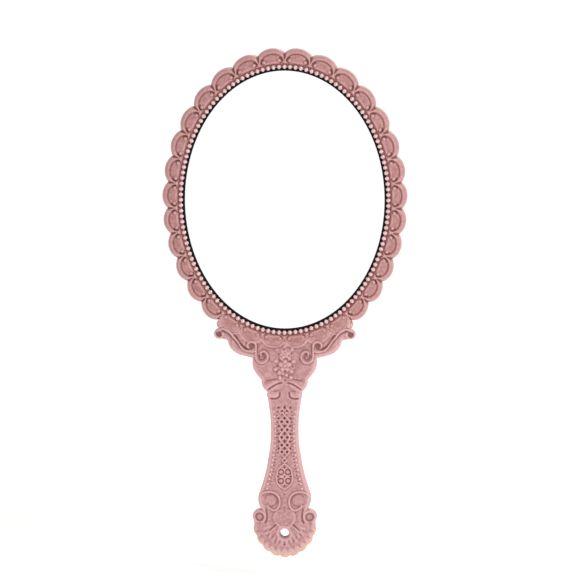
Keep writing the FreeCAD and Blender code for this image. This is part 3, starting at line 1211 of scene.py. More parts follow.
def arc_through(start: Point, middle: Point, end: Point, count: int = 10) -> np.ndarray:
    """Points along the circle's arc through three points, without the last one.

    Args:
        start: the first point.
        middle: a point on the way.
        end: the last point, left out.
        count: how many points the arc has.

    Returns:
        The points, one row each.
    """
    a, b, c = (complex(*p) for p in (start, middle, end))
    centre = circle_centre(a, b, c)
    first = math.atan2((a - centre).imag, (a - centre).real)
    via = (math.atan2((b - centre).imag, (b - centre).real) - first) % (2 * math.pi)
    last = (math.atan2((c - centre).imag, (c - centre).real) - first) % (2 * math.pi)
    if via > last:
        last -= 2 * math.pi
    angles = first + np.linspace(0.0, last, count, endpoint=False)
    radius = abs(a - centre)
    return np.column_stack([centre.real + radius * np.cos(angles), centre.imag + radius * np.sin(angles)])


def circle_centre(a: complex, b: complex, c: complex) -> complex:
    """The centre of the circle through three points.

    Args:
        a: the first point, as a complex number.
        b: the second point.
        c: the third point.

    Returns:
        The centre, as a complex number.
    """
    ab, ac = b - a, c - a
    cross = 2.0 * (ab.real * ac.imag - ab.imag * ac.real)
    x = (ac.imag * abs(ab) ** 2 - ab.imag * abs(ac) ** 2) / cross
    y = (ab.real * abs(ac) ** 2 - ac.real * abs(ab) ** 2) / cross
    return a + complex(x, y)


def even_points(path: np.ndarray, spacing: float, closed: bool) -> np.ndarray:
    """Points set evenly along a path, its corners rounded by no more than the spacing.

    Args:
        path: the points to follow.
        spacing: the distance between the new points.
        closed: whether the path returns to its start.

    Returns:
        The new points, one row each.
    """
    line = np.vstack([path, path[:1]]) if closed else path
    run = np.concatenate([[0.0], np.cumsum(np.hypot(*np.diff(line, axis=0).T))])
    count = max(int(round(run[-1] / spacing)), 8)
    places = np.linspace(0.0, run[-1], count, endpoint=not closed)
    return np.column_stack([np.interp(places, run, line[:, 0]), np.interp(places, run, line[:, 1])])


@dataclass
class Plate:
    """A flat-backed plate whose face is a field of relief, cut to an outline with round holes."""

    outline: np.ndarray
    side: Side
    spacing: float
    holes: list[np.ndarray] = field(default_factory=list)
    foot: float = 0.0

    def __post_init__(self) -> None:
        """Space the outline evenly and fill it with a triangle grid."""
        self.edge = even_points(self.outline, self.spacing * 0.8, True)
        self.rings = [even_points(hole, self.spacing * 0.8, True) for hole in self.holes]
        low, high = self.edge.min(axis=0), self.edge.max(axis=0)
        row_gap = self.spacing * math.sqrt(0.75)
        rows = np.arange(low[1], high[1], row_gap)
        columns = np.arange(low[0], high[0], self.spacing)
        grid_x, grid_z = np.meshgrid(columns, rows)
        grid_x = grid_x + (np.arange(len(rows)) % 2)[:, None] * self.spacing / 2
        inner = np.column_stack([grid_x.ravel(), grid_z.ravel()])
        inner = inner[self._inside(inner)]
        border = np.vstack([self.edge, *self.rings])
        tree = KDTree(len(border))
        for index, spot in enumerate(border):
            tree.insert((spot[0], spot[1], 0.0), index)
        tree.balance()
        self.gap = np.array([tree.find((x, z, 0.0))[2] for x, z in inner])
        inner = inner[self.gap > self.spacing * 0.45]
        self.gap = np.concatenate([np.zeros(len(border)), self.gap[self.gap > self.spacing * 0.45]])
        self.points = np.vstack([border, inner])
        self.x, self.z = self.points.T
        self._triangulate(len(self.edge))

    def _inside(self, points: np.ndarray) -> np.ndarray:
        """Which points are inside the outline.

        Args:
            points: the points to test, one row each.

        Returns:
            True for each point inside.
        """
        crossings = np.zeros(len(points), dtype=bool)
        x, z = points.T
        ends = np.roll(self.edge, -1, axis=0)
        for (x0, z0), (x1, z1) in zip(self.edge, ends):
            if z0 == z1:
                continue
            spans = (z0 > z) != (z1 > z)
            crossings[spans] ^= x[spans] < (x1 - x0) * (z[spans] - z0) / (z1 - z0) + x0
        for ring in self.rings:
            centre = ring.mean(axis=0)
            radius = np.hypot(*(ring[0] - centre)) * 0.995
            crossings &= np.hypot(x - centre[0], z - centre[1]) > radius
        return crossings

    def _triangulate(self, edge_count: int) -> None:
        """Join the points into triangles, none of them in a hole.

        Args:
            edge_count: how many points the outline has.
        """
        loops = []
        start = 0
        for count in (edge_count, *(len(ring) for ring in self.rings)):
            loops.append(np.arange(start, start + count))
            start += count
        self.loops = loops
        edges = [(int(a), int(b)) for loop in loops for a, b in zip(loop, np.roll(loop, -1))]
        spots = [Vector(point) for point in self.points]
        made = delaunay_2d_cdt(spots, edges, [], 1, 1e-6, True)
        origin = [names[0] for names in made[3]]
        triangles = np.array([[origin[corner] for corner in face] for face in made[2]])
        self.triangles = triangles[self._inside(self.points[triangles].mean(axis=1))]

    def build(self, name: str, height: np.ndarray, finish: MouldedPlastic) -> bpy.types.Object:
        """Raise the face to its heights, add the walls and close the back.

        Args:
            name: the piece's name.
            height: how far each point stands from the joint plane, in millimetres.
            finish: what the plate is made of.

        Returns:
            The new object.
        """
        facing = self.side.value
        top = np.column_stack([self.x, facing * height, self.z])
        border = np.concatenate(self.loops)
        layers = [top]
        shares = (0.66, 0.33, 0.0)
        for share in shares:
            level = self.foot + (height[border] - self.foot) * share
            layers.append(np.column_stack([self.x[border], facing * level, self.z[border]]))
        count = len(self.points)
        size = len(border)
        rings = [border] + [count + step * size + np.arange(size) for step in range(len(shares))]
        walls = []
        start = 0
        for loop in self.loops:
            spots = np.arange(start, start + len(loop))
            after = np.roll(spots, -1)
            for upper, lower in zip(rings, rings[1:]):
                walls += np.column_stack([upper[spots], upper[after], lower[after], lower[spots]]).tolist()
            start += len(loop)
        edge_place = [Vector(point) for point in self.points[border]]
        loop_edges = []
        start = 0
        for loop in self.loops:
            spots = np.arange(start, start + len(loop))
            loop_edges += [(int(a), int(b)) for a, b in zip(spots, np.roll(spots, -1))]
            start += len(loop)
        made = delaunay_2d_cdt(edge_place, loop_edges, [], 1, 1e-6, True)
        origin = [names[0] for names in made[3]]
        backs = np.array([[origin[corner] for corner in face] for face in made[2]])
        backs = backs[self._inside(self.points[border][backs].mean(axis=1))]
        faces = self.triangles.tolist() + walls + rings[-1][backs[:, ::-1]].tolist()
        mesh = bpy.data.meshes.new(name)
        mesh.from_pydata((np.vstack(layers) * MM).tolist(), [], faces)
        # painted shade on the walls, darkest at the front plate's foot by the joint, and painted shadow on
        # the hole walls
        seat = np.zeros(count + len(shares) * size)
        for step, shade in enumerate((0.1, 0.35, 1.6) if self.side is Side.FRONT else (0.0, 0.0, 0.1)):
            seat[count + step * size : count + (step + 1) * size] = shade
        inside = np.concatenate(
            [np.arange(len(loop)) * 0 + (index > 0) for index, loop in enumerate(self.loops)]
        )
        for step in range(len(shares)):
            seat[count + step * size : count + (step + 1) * size][inside > 0] = 2.6
        attribute = mesh.attributes.new("seat", "FLOAT", "POINT")
        attribute.data.foreach_set("value", seat.astype(np.float32))
        mesh.materials.append(finish.make())
        piece = bpy.data.objects.new(name, mesh)
        bpy.context.scene.collection.objects.link(piece)
        return piece


# ---------------------------------------------------------------- the handle


@dataclass
class Fan:
    """The shell-shaped end: scallops round an ellipse."""

    half_width: float
    drop: float
    lobes: int
    centre_z: float = -39.0
    start_angle: float = 8.0
    rise: float = 0.7

    def spot(self, degrees: float, extra: float = 0.0) -> Point:
        """A point on the fan's ellipse, at an angle below the horizontal on the right.

        Args:
            degrees: the angle below the horizontal.
            extra: how far outside the ellipse.

        Returns:
            The point.
        """
        angle = math.radians(degrees)
        x = (self.half_width + extra) * math.cos(angle)
        return x, self.centre_z - (self.drop + extra) * math.sin(angle)

    def notches(self) -> list[float]:
        """The angles of the scallops' notches."""
        pitch = (180.0 - 2 * self.start_angle) / self.lobes
        return [self.start_angle + pitch * lobe for lobe in range(self.lobes + 1)]

    def edge(self) -> np.ndarray:
        """The right half of the fan's edge, down to the middle scallop's tip.

        Returns:
            The points, one row each.
        """
        notches = self.notches()
        runs = []
        for start, end in zip(notches, notches[1 : len(notches) // 2]):
            middle = self.spot((start + end) / 2, self.rise)
            runs.append(arc_through(self.spot(start), middle, self.spot(end), 8))
        last = notches[len(notches) // 2 - 1]
        tip = self.spot(90.0, self.rise)
        runs.append(arc_through(self.spot(last), tip, (-self.spot(last)[0], self.spot(last)[1]), 16)[:9])
        return np.vstack(runs)


@dataclass(frozen=True)
class Hole:
    """A round hole straight through both shells."""

    z: float
    radius: float

    @classmethod
    def from_record(cls, name: str) -> "Hole":
        """Read a hole from the mount that states it.

        Args:
            name: the mount's name in the record.

        Returns:
            The hole, in millimetres.
        """
        mount = next(entry for entry in frame["record"]["mounts"] if entry["name"] == name)
        return cls(round(mount["pos_m"][2] / MM, 3), mount["dims"]["r_mm"])


@dataclass
class Handle:
    """The neck, grip and shell-shaped end of one shell, with the scrolled shoulders under the head."""

    oval: Oval
    side: Side
    finish: MouldedPlastic
    fan: Fan
    hole: Hole
    spacing: float = 0.27
    under_rim: float = 4.2
    notch_out: float = 8.4
    free_lobes: int = 13
    neck_corner: Point = (15.7, 41.5)
    leaf_belly: Point = (15.5, 36.9)
    leaf_foot: Point = (11.4, 30.9)
    small_leaf_foot: Point = (8.35, 24.7)
    collar: Point = (7.9, 20.1)
    waist: Point = (6.7, 4.0)
    swell: Point = (8.5, -11.1)
    flare: Point = (12.2, -24.6)
    bulge: Point = (12.95, -28.6)
    curl: Point = (12.3, -36.9)
    curl_radius: float = 3.5
    volute_radius: float = 2.6
    crown: float = 6.2
    crown_side: float = 3.0
    crown_half_width: float = 17.5
    head_level: float = 4.15
    rounding: float = 1.3
    edge_drop: float = 1.1

    def volute(self) -> Point:
        """The centre of the curl at the shoulder's tip."""
        x, z = self.oval.on_lobes(self.free_lobes, self.notch_out)[0]
        return float(x) - 0.3, float(z) - 7.1

    def right_edge(self) -> np.ndarray:
        """The outline's right half, from under the rim down to the middle of the fan.

        Returns:
            The points, one row each.
        """
        lobes = np.linspace(self.oval.lobes / 2, self.free_lobes, 40)
        under = self.oval.on_lobes(lobes, self.under_rim)
        notch = self.oval.on_lobes(self.free_lobes, self.notch_out)
        cx, cz = self.volute()
        tip = arc_path(cx, cz, self.volute_radius, 78.0, -112.0, 20)
        bend = 0.5 if self.side is Side.FRONT else -1.0
        hollow = (notch + tip[:1]) / 2 - np.array([[bend, 0.0]])
        kx, kz = self.neck_corner

        def between(across: float, up: float) -> Point:
            """A point between the neck's corner and the volute's centre."""
            return kx + across * (cx - kx), kz + up * (cz - kz)

        armpit = between(0.76, 0.73)
        belly = smooth_path(
            [armpit, between(0.70, 0.50), between(0.60, 0.31), between(0.42, 0.15), between(0.18, 0.06)]
        )
        neck = smooth_path([self.neck_corner, self.leaf_belly, (13.6, 33.5), self.leaf_foot])
        lower = smooth_path([self.leaf_foot, (11.0, 28.2), (9.9, 26.3), self.small_leaf_foot])
        cuff = smooth_path([self.small_leaf_foot, (8.6, 23.5), (8.25, 21.8), self.collar])
        grip = smooth_path([self.collar, (6.85, 11.6), self.waist, (7.0, -1.6), self.swell,
                            (10.0, -17.6), (11.5, -22.4), self.flare])
        curl_x, curl_z = self.curl
        curl_top = arc_path(curl_x, curl_z, self.curl_radius, 112.0, -35.0, 18)
        end = arc_through(self.flare, self.bulge, tuple(curl_top[0]), 10)
        hook = smooth_path([notch[0], hollow[0], tip[0]])
        parts = [under, hook, tip[1:], belly, neck, lower, cuff, grip, end, curl_top, self.fan.edge()]
        return np.vstack(parts)

    def outline(self) -> np.ndarray:
        """The whole outline.

        Returns:
            The points, one row each.
        """
        right = self.right_edge()
        left = mirrored(right)[::-1]
        return np.vstack([right, left[1:-1]])

    def ground(self, plate: Plate) -> np.ndarray:
        """The plain crowned surface before any relief.

        Args:
            plate: the plate to shape.

        Returns:
            The height at each point, over the joint plane.
        """
        half = self.crown_half_width
        share = np.sqrt(np.clip(1.0 - (plate.x / half) ** 2 * 0.45, 0.0, 1.0))
        crowned = self.crown_side + (self.crown - self.crown_side - 0.75) * share
        grown = self.oval.grown(plate.x, plate.z)
        near_head = ease(grown, 15.0, 9.5)
        level = crowned + (self.head_level - crowned) * near_head
        low_end = ease(plate.z, -27.0, -33.0) * ease(np.abs(plate.x), 8.0, 15.5)
        cx, cz = self.volute()
        low_tip = ease(np.hypot(np.abs(plate.x) - cx, plate.z - cz), 7.0, 1.0)
        level = level - 1.3 * low_end - 0.6 * low_tip
        gap = np.clip(plate.gap / self.rounding, 0.0, 1.0)
        rounded = np.sqrt(1.0 - (1.0 - gap) ** 2)
        rounded = np.where(grown < self.notch_out - 1.0, 1.0, rounded)
        return level - self.edge_drop * (1.0 - rounded)

    def build(self, name: str, replaces: Sequence[str] = ()) -> bpy.types.Object:
        """Carve the plate and hand it over.

        Args:
            name: the piece's name.
            replaces: the nodes it stands for.

        Returns:
            The finished piece.
        """
        hole = arc_path(0.0, self.hole.z, self.hole.radius, 0.0, 352.5, 48)
        plate = Plate(self.outline(), self.side, self.spacing, [hole])
        carving = Carving(plate.x, plate.z)
        self.carve_shoulders(carving)
        self.carve_neck(carving)
        self.carve_grip(carving)
        self.carve_end(carving)
        near = ease(plate.gap, 0.05, 0.5)
        height = self.ground(plate) + carving.raised * (0.35 + 0.65 * near) - carving.cut * near
        height = height + carving.ground * near
        piece = plate.build(name, height, self.finish)
        return settle(piece, self.finish.slot, replaces)

    def carve_shoulders(self, work: Carving) -> None:
        """The S-scroll on each shoulder, its curl, and the hooked line that drops to the neck.

        Args:
            work: the relief to carve into.
        """
        cx, cz = self.volute()
        scroll = smooth_path([
            (cx + 0.9, cz + 1.3), (30.8, 55.6), (28.9, 55.4), (26.9, 54.2), (25.0, 51.8), (23.0, 49.7),
            (21.1, 46.7), (19.1, 45.2), (16.2, 44.7), (14.2, 44.9),
        ])
        work.both(scroll, 0.55, 0.95)
        wing = smooth_path([
            (30.0, 53.0), (27.5, 51.1), (25.3, 48.1), (22.0, 44.9), (18.5, 43.5), (15.0, 43.1),
        ])
        work.both(wing, 1.7, 0.55, 0.3)
        for sign in (1.0, -1.0):
            work.swell(sign * cx, cz, 3.0, 3.0, 0.5)
            work.dish(sign * (cx + 0.2), cz - 0.2, 1.7, 0.65)
            work.dish(sign * 16.1, 47.5, 1.4, 0.5)
            work.dish(sign * 11.1, 42.2, 2.1, 0.5)
        curl = arc_path(cx, cz, 2.0, 100.0, -190.0, 40)
        work.both(curl, 0.5, 0.6)
        self.low_lobes(work)
        work.both_grooves(
            smooth_path([(24.6, 53.0), (23.5, 51.3), (22.0, 48.9), (20.0, 46.9), (18.0, 46.0), (15.5, 45.8)]),
            0.45, 0.8,
        )
        hook = np.vstack([
            arc_path(16.1, 47.5, 2.1, -120.0, 180.0, 26),
            arc_path(11.1, 42.2, 2.9, 0.0, -225.0, 26),
            smooth_path([(9.9, 44.9), (11.0, 44.7), (11.7, 43.9), (11.5, 42.9)]),
        ])
        work.both(hook, 0.5, 0.7)

    def low_lobes(self, work: Carving) -> None:
        """Line the scallops that run into the shoulders with a fine raised edge."""
        across = np.linspace(-0.5, 0.5, 25)
        for lobe in range(self.free_lobes, self.oval.lobes // 2):
            reach = 5.2 + 5.6 * np.sqrt(1.0 - (across * 12.9 / 7.6) ** 2) - 0.55 * (lobe - 12.6)
            work.both(self.oval.on_lobes(lobe + 0.5 + across, reach), 0.42, 0.3)

    def carve_neck(self, work: Carving) -> None:
        """The two leaves that clasp the neck and the bouquet between them.

        Args:
            work: the relief to carve into.
        """
        for sign in (1.0, -1.0):
            work.swell(sign * 10.6, 36.5, 7.0, 5.4, 0.95, 90.0 - sign * 20.0)
            work.swell(sign * 6.3, 27.7, 5.2, 3.2, 0.6, sign * -24.0)
            work.swell(sign * 5.4, 23.5, 3.4, 2.0, 0.5)
        work.both_grooves(smooth_path([(1.2, 29.5), (3.6, 28.9), (6.4, 27.3), (8.7, 25.5)]), 0.42, 0.75)
        work.both_grooves(smooth_path([(7.2, 21.7), (4.3, 21.7), (2.6, 22.8), (2.2, 25.1)]), 0.38, 0.6)
        work.both_grooves(smooth_path([(3.4, 31.5), (6.0, 30.9), (8.8, 30.6)]), 0.3, 0.25)
        work.swell(0.0, 44.3, 4.4, 3.6, 0.8)
        work.swell(0.3, 37.3, 4.6, 5.6, 0.5)
        self.blossom(work, 0.3, 37.9, 2.9, 5, 0.5)
        self.blossom(work, 0.1, 43.7, 2.2, 6, 0.45, 70.0)
        work.dome(1.0, 33.3, 0.85, 0.85, 0.9)
        for x, z in ((-2.6, 34.5), (3.6, 35.1), (-4.1, 40.2), (4.5, 39.9), (-2.2, 31.9), (-1.4, 41.3),
                     (2.4, 41.5), (-4.4, 36.1), (3.2, 32.1), (0.2, 47.5), (-3.6, 45.7), (3.8, 45.9)):
            work.swell(x, z, 1.35, 1.1, 0.45, 40.0 * x)
        work.pits([(-3.4, 37.9), (3.9, 37.5), (-2.2, 40.5), (2.6, 40.1), (0.2, 35.1), (-1.2, 32.9),
                   (-2.9, 43.5), (3.4, 43.9), (0.3, 30.7)], 0.5, 0.45)

    @staticmethod
    def blossom(
        work: Carving, x: float, z: float, radius: float, petals: int, height: float, turn: float = 90.0
    ) -> None:
        """Raise a small open flower: round petals about a button.

        Args:
            work: the relief to carve into.
            x: the middle's place to the right, in millimetres.
            z: the middle's height, in millimetres.
            radius: the flower's radius.
            petals: how many petals it has.
            height: how high each petal stands.
            turn: the angle of the first petal, in degrees.
        """
        for petal in range(petals):
            angle = turn + 360.0 * petal / petals
            px = x + 0.62 * radius * math.cos(math.radians(angle))
            pz = z + 0.62 * radius * math.sin(math.radians(angle))
            work.swell(px, pz, 0.60 * radius, 0.46 * radius, height, angle)
        work.groove(arc_path(x, z, 0.36 * radius, 0.0, 360.0, 20), 0.25, 0.2)
        work.dome(x, z, 0.28 * radius, 0.28 * radius, height * 0.9)

    def carve_grip(self, work: Carving) -> None:
        """The plaited tracery down the grip and the medallion where it widens.

        Args:
            work: the relief to carve into.
        """
        weave = smooth_path([
            (0.9, 17.6), (1.7, 15.9), (0.0, 13.6), (-2.5, 10.3), (0.0, 6.4), (2.6, 2.6), (0.0, -1.2),
            (-2.4, -4.0), (0.0, -7.4), (1.2, -8.8), (0.0, -10.2), (2.4, -12.3), (3.7, -15.2),
            (3.9, -18.2), (2.5, -21.3), (0.0, -23.1),
        ])
        work.both(weave, 0.36, 0.5)
        for z in (15.6, 10.3, 6.4, 2.6, -1.2, -4.6):
            work.both(arc_path(1.35, z, 1.05, 0.0, 360.0, 18), 0.27, 0.38)
            work.pits([(1.35, z), (-1.35, z), (0.0, z + 1.8), (2.9, z + 1.7), (-2.9, z + 1.7)], 0.48, 0.95)
            work.pits([(3.3, z - 0.4), (-3.3, z - 0.4)], 0.36, 0.5)
        for x, z in ((1.7, -14.6), (1.8, -19.0)):
            work.both_grooves(arc_path(x, z, 1.25, 0.0, 360.0, 20), 0.36, 0.7)
            work.pits([(x, z), (-x, z)], 0.3, 0.35)
        work.pits([(0.0, -12.3), (0.0, -16.8), (0.0, -21.4), (2.9, -16.8), (-2.9, -16.8)], 0.45, 0.8)
        for step in range(24):
            z = 15.0 - 1.55 * step
            x = 3.75 + 3.6 * max(0.0, (-1.0 - z) / 21.0) ** 1.3
            work.pits([(x, z), (-x, z)], 0.36, 0.4)

    def bead_paths(self, lift: float) -> list[np.ndarray]:
        """The lines of beads that edge the grip, left and right.

        Args:
            lift: how far the beads' centres stand from the joint plane.

        Returns:
            Two paths of three columns.
        """
        right = smooth_path([(5.1, 15.3), (4.6, 8.0), (4.6, 3.0), (5.3, -5.0), (6.6, -14.0), (8.6, -22.7)])
        rows = []
        for path in (right, mirrored(right)):
            depth = np.full(len(path), self.side.value * lift)
            rows.append(np.column_stack([path[:, 0], depth, path[:, 1]]))
        return rows

    def carve_end(self, work: Carving) -> None:
        """The scrolls, the heart and the fluted shell at the end of the handle.

        Args:
            work: the relief to carve into.
        """
        scroll = smooth_path([
            (11.6, -26.0), (10.4, -25.0), (8.4, -24.4), (6.2, -24.5), (4.3, -25.3), (2.9, -26.8),
            (2.3, -28.9), (2.6, -31.2), (3.7, -32.9), (5.4, -33.5), (7.1, -32.8), (8.5, -31.3),
        ])
        work.both(scroll, 0.5, 0.5)
        for sign in (1.0, -1.0):
            work.dish(sign * 6.6, -28.6, 4.0, 0.22)
            work.swell(sign * 7.0, -28.7, 3.6, 3.3, 0.45)
            work.swell(sign * 11.3, -29.6, 2.6, 4.4, 0.35)
            work.dish(sign * self.curl[0], self.curl[1], 2.5, 0.38)
        work.both(arc_path(self.curl[0], self.curl[1], 2.75, -60.0, 250.0, 40), 0.55, 0.35)
        work.both_grooves(smooth_path([(4.9, -30.4), (6.4, -31.2), (7.9, -30.0)]), 0.3, 0.35)
        heart = smooth_path([
            (0.0, -35.4), (1.5, -33.9), (3.6, -34.1), (5.0, -36.2), (4.8, -38.5), (3.3, -40.6), (1.1, -42.7),
        ])
        work.both(heart, 0.8, 0.28)
        work.swell(-2.2, -36.8, 3.6, 3.2, 0.4)
        work.swell(2.4, -36.8, 3.6, 3.2, 0.4)
        work.both_grooves(smooth_path([(9.2, -32.6), (8.6, -35.4), (8.7, -38.2), (9.6, -40.4)]), 0.42, 0.55)
        self.flutes(work)
        work.pits([(0.0, -32.2), (0.0, -50.3), (0.0, -25.6)], 0.42, 0.45)
        ring = arc_path(0.0, self.hole.z, self.hole.radius + 0.75, 0.0, 360.0, 40)
        work.ridge(ring, 0.6, 0.16)

    def flutes(self, work: Carving) -> None:
        """Petals that run out from the heart to each scallop, with a pit at each notch.

        Args:
            work: the relief to carve into.
        """
        notches = self.fan.notches()
        for start, end in zip(notches, notches[1:]):
            middle = math.radians((start + end) / 2)
            out = np.array(self.fan.spot(math.degrees(middle), -0.6))
            hub = np.array([0.0, -38.5])
            inner = hub + (out - hub) * 0.45
            line = out - inner
            centre = (out + inner) / 2
            turn = math.degrees(math.atan2(line[1], line[0]))
            pitch = np.hypot(*(np.array(self.fan.spot(start)) - np.array(self.fan.spot(end))))
            half = float(np.hypot(*line)) / 2
            work.swell(float(centre[0]), float(centre[1]), half * 1.3, pitch * 0.7, 0.5, turn)
        for notch in notches[1:-1]:
            out = np.array(self.fan.spot(notch, -0.4))
            hub = np.array([0.0, -38.5])
            inner = hub + (out - hub) * 0.74
            work.groove(np.vstack([out, (out + inner) / 2, inner]), 0.36, 0.1)
            work.pits([(float(out[0]), float(out[1]))], 0.38, 0.5)
        for sign in (1.0, -1.0):
            petal = smooth_path([
                (sign * 3.9, -41.4), (sign * 6.4, -43.4), (sign * 7.0, -46.6), (sign * 5.4, -49.6),
            ])
            work.ridge(petal, 0.7, 0.24, 0.4)
            work.groove(np.array([(sign * 3.9, -40.4), (sign * 5.6, -41.9), (sign * 7.4, -43.7)]), 0.4, 0.5)


# ---------------------------------------------------------------- the back of the head


@dataclass
class BackPanel:
    """The domed back of the head: a ring of leaves and scrolls round a rose."""

    oval: Oval
    finish: MouldedPlastic
    spacing: float = 0.42
    edge_out: float = 3.2
    edge_height: float = 4.1
    ground_height: float = 5.35
    crest: float = 6.5

    def build(self, name: str) -> bpy.types.Object:
        """Carve the panel and hand it over.

        Args:
            name: the piece's name.

        Returns:
            The finished piece.
        """
        angles = np.linspace(0.0, 2.0 * math.pi, 720, endpoint=False)
        outline = np.column_stack(self.oval.at(angles, self.edge_out))
        plate = Plate(outline, Side.BACK, self.spacing, foot=2.2)
        grown = self.oval.grown(plate.x, plate.z)
        rise = ease(grown, 1.0, -9.0)
        ground = self.edge_height + (self.ground_height - self.edge_height) * rise
        ground = ground - 0.9 * ease(grown, 1.6, 3.2)
        work = Carving(plate.x, plate.z)
        self.carve(work)
        height = np.minimum(ground + work.result(), self.crest)
        return settle(plate.build(name, height, self.finish), self.finish.slot)

    def carve(self, work: Carving) -> None:
        """Lay out the medallion about the oval's centre.

        Args:
            work: the relief to carve into.
        """
        mid = self.oval.centre_z
        ring = np.linspace(0.0, 2.0 * math.pi, 240)
        for grow, wide, tall in ((-4.6, 0.7, 0.7), (-8.4, 0.5, 0.6)):
            work.ridge(np.column_stack(self.oval.at(ring, grow)), wide, tall)
        self.rose(work, 0.0, mid, 11.5, 1.15)
        self.rose(work, 0.0, mid + 25.5, 6.6, 0.95)
        self.rose(work, 0.0, mid - 25.5, 6.6, 0.95)
        for sign in (1.0, -1.0):
            for long, wide, reach, turn in (
                (13.0, 3.6, 10.5, 28.0), (13.0, 3.6, 10.5, -28.0), (11.5, 3.2, 10.5, 62.0),
                (11.5, 3.2, 10.5, -62.0), (12.0, 3.4, 11.0, 0.0),
            ):
                angle = turn if sign > 0 else 180.0 - turn
                x = reach * math.cos(math.radians(angle))
                z = mid + reach * math.sin(math.radians(angle))
                work.leaf(x, z, long, wide, 0.95, angle)
            for up in (1.0, -1.0):
                self.scroll(work, sign, up, mid)

    def scroll(self, work: Carving, sign: float, up: float, mid: float) -> None:
        """One quarter's S-scroll with its curled ends, buds and leaves.

        Args:
            work: the relief to carve into.
            sign: 1 on the right and -1 on the left.
            up: 1 above the middle and -1 below it.
            mid: the middle's height, in millimetres.
        """

        def place(points: Sequence[Point]) -> np.ndarray:
            """Points of the upper right quarter moved to this one."""
            return np.array([(sign * x, mid + up * z) for x, z in points])

        stem = smooth_path(place([
            (33.0, 3.0), (34.5, 11.0), (31.5, 19.5), (26.0, 25.5), (20.0, 30.5), (15.0, 37.0), (12.5, 44.0),
        ]))
        work.ridge(stem, 0.95, 0.9, 0.35)
        curl_out = spiral_path(7.6, 44.0, 4.9, 1.0, 0.0, 470.0, 60)
        work.ridge(place(curl_out), 0.75, 0.85)
        curl_in = spiral_path(27.6, 2.4, 5.4, 1.0, 6.0, -480.0, 60)
        work.ridge(place(curl_in), 0.75, 0.85)
        branch = smooth_path(place([(26.0, 25.5), (28.5, 31.0), (25.5, 36.0), (21.2, 34.6), (22.4, 31.4)]))
        work.ridge(branch, 0.65, 0.8, 0.3)
        for x, z, turn, long in (
            (31.8, 18.5, 18.0, 8.0), (33.6, 10.0, 95.0, 7.5), (20.5, 30.0, 160.0, 7.0),
            (15.4, 36.6, 20.0, 8.5), (13.4, 41.5, 62.0, 8.0), (24.5, 26.5, -120.0, 6.5),
        ):
            turned = turn if sign > 0 else 180.0 - turn
            turned = turned if up > 0 else -turned
            work.leaf(sign * x, mid + up * z, long, long * 0.26, 0.8, turned)
        for x, z in ((18.6, 41.2), (27.6, 2.4), (7.6, 44.0), (38.2, 4.0), (23.5, 20.0)):
            work.dome(sign * x, mid + up * z, 1.0, 1.0, 1.0)

    @staticmethod
    def rose(work: Carving, x: float, z: float, radius: float, height: float) -> None:
        """Raise a full rose: rings of cupped petals round a tight bud.

        Args:
            work: the relief to carve into.
            x: the middle's place to the right, in millimetres.
            z: the middle's height, in millimetres.
            radius: the rose's radius.
            height: how high its petals stand.
        """
        dx, dz = work.x - x, work.z - z
        off = np.hypot(dx, dz)
        angle = np.arctan2(dz, dx)
        best = np.zeros_like(off)
        for ring, (share, petals) in enumerate(((1.0, 6), (0.76, 5), (0.54, 5), (0.33, 4), (0.16, 3))):
            wave = np.abs(np.cos(petals * angle / 2.0 + ring * 1.1))
            edge = radius * share * (0.84 + 0.16 * np.sqrt(wave))
            step = height * (0.42 + 0.145 * ring)
            cup = 0.26 * height * (off / np.maximum(edge, 1e-6)) ** 3
            lip = ease(off, edge, edge - 0.55)
            best = np.where(off < edge, (step + cup - 0.12 * height) * lip + best * (1.0 - lip), best)
        work.raised = np.maximum(work.raised, best)


# ---------------------------------------------------------------- the room


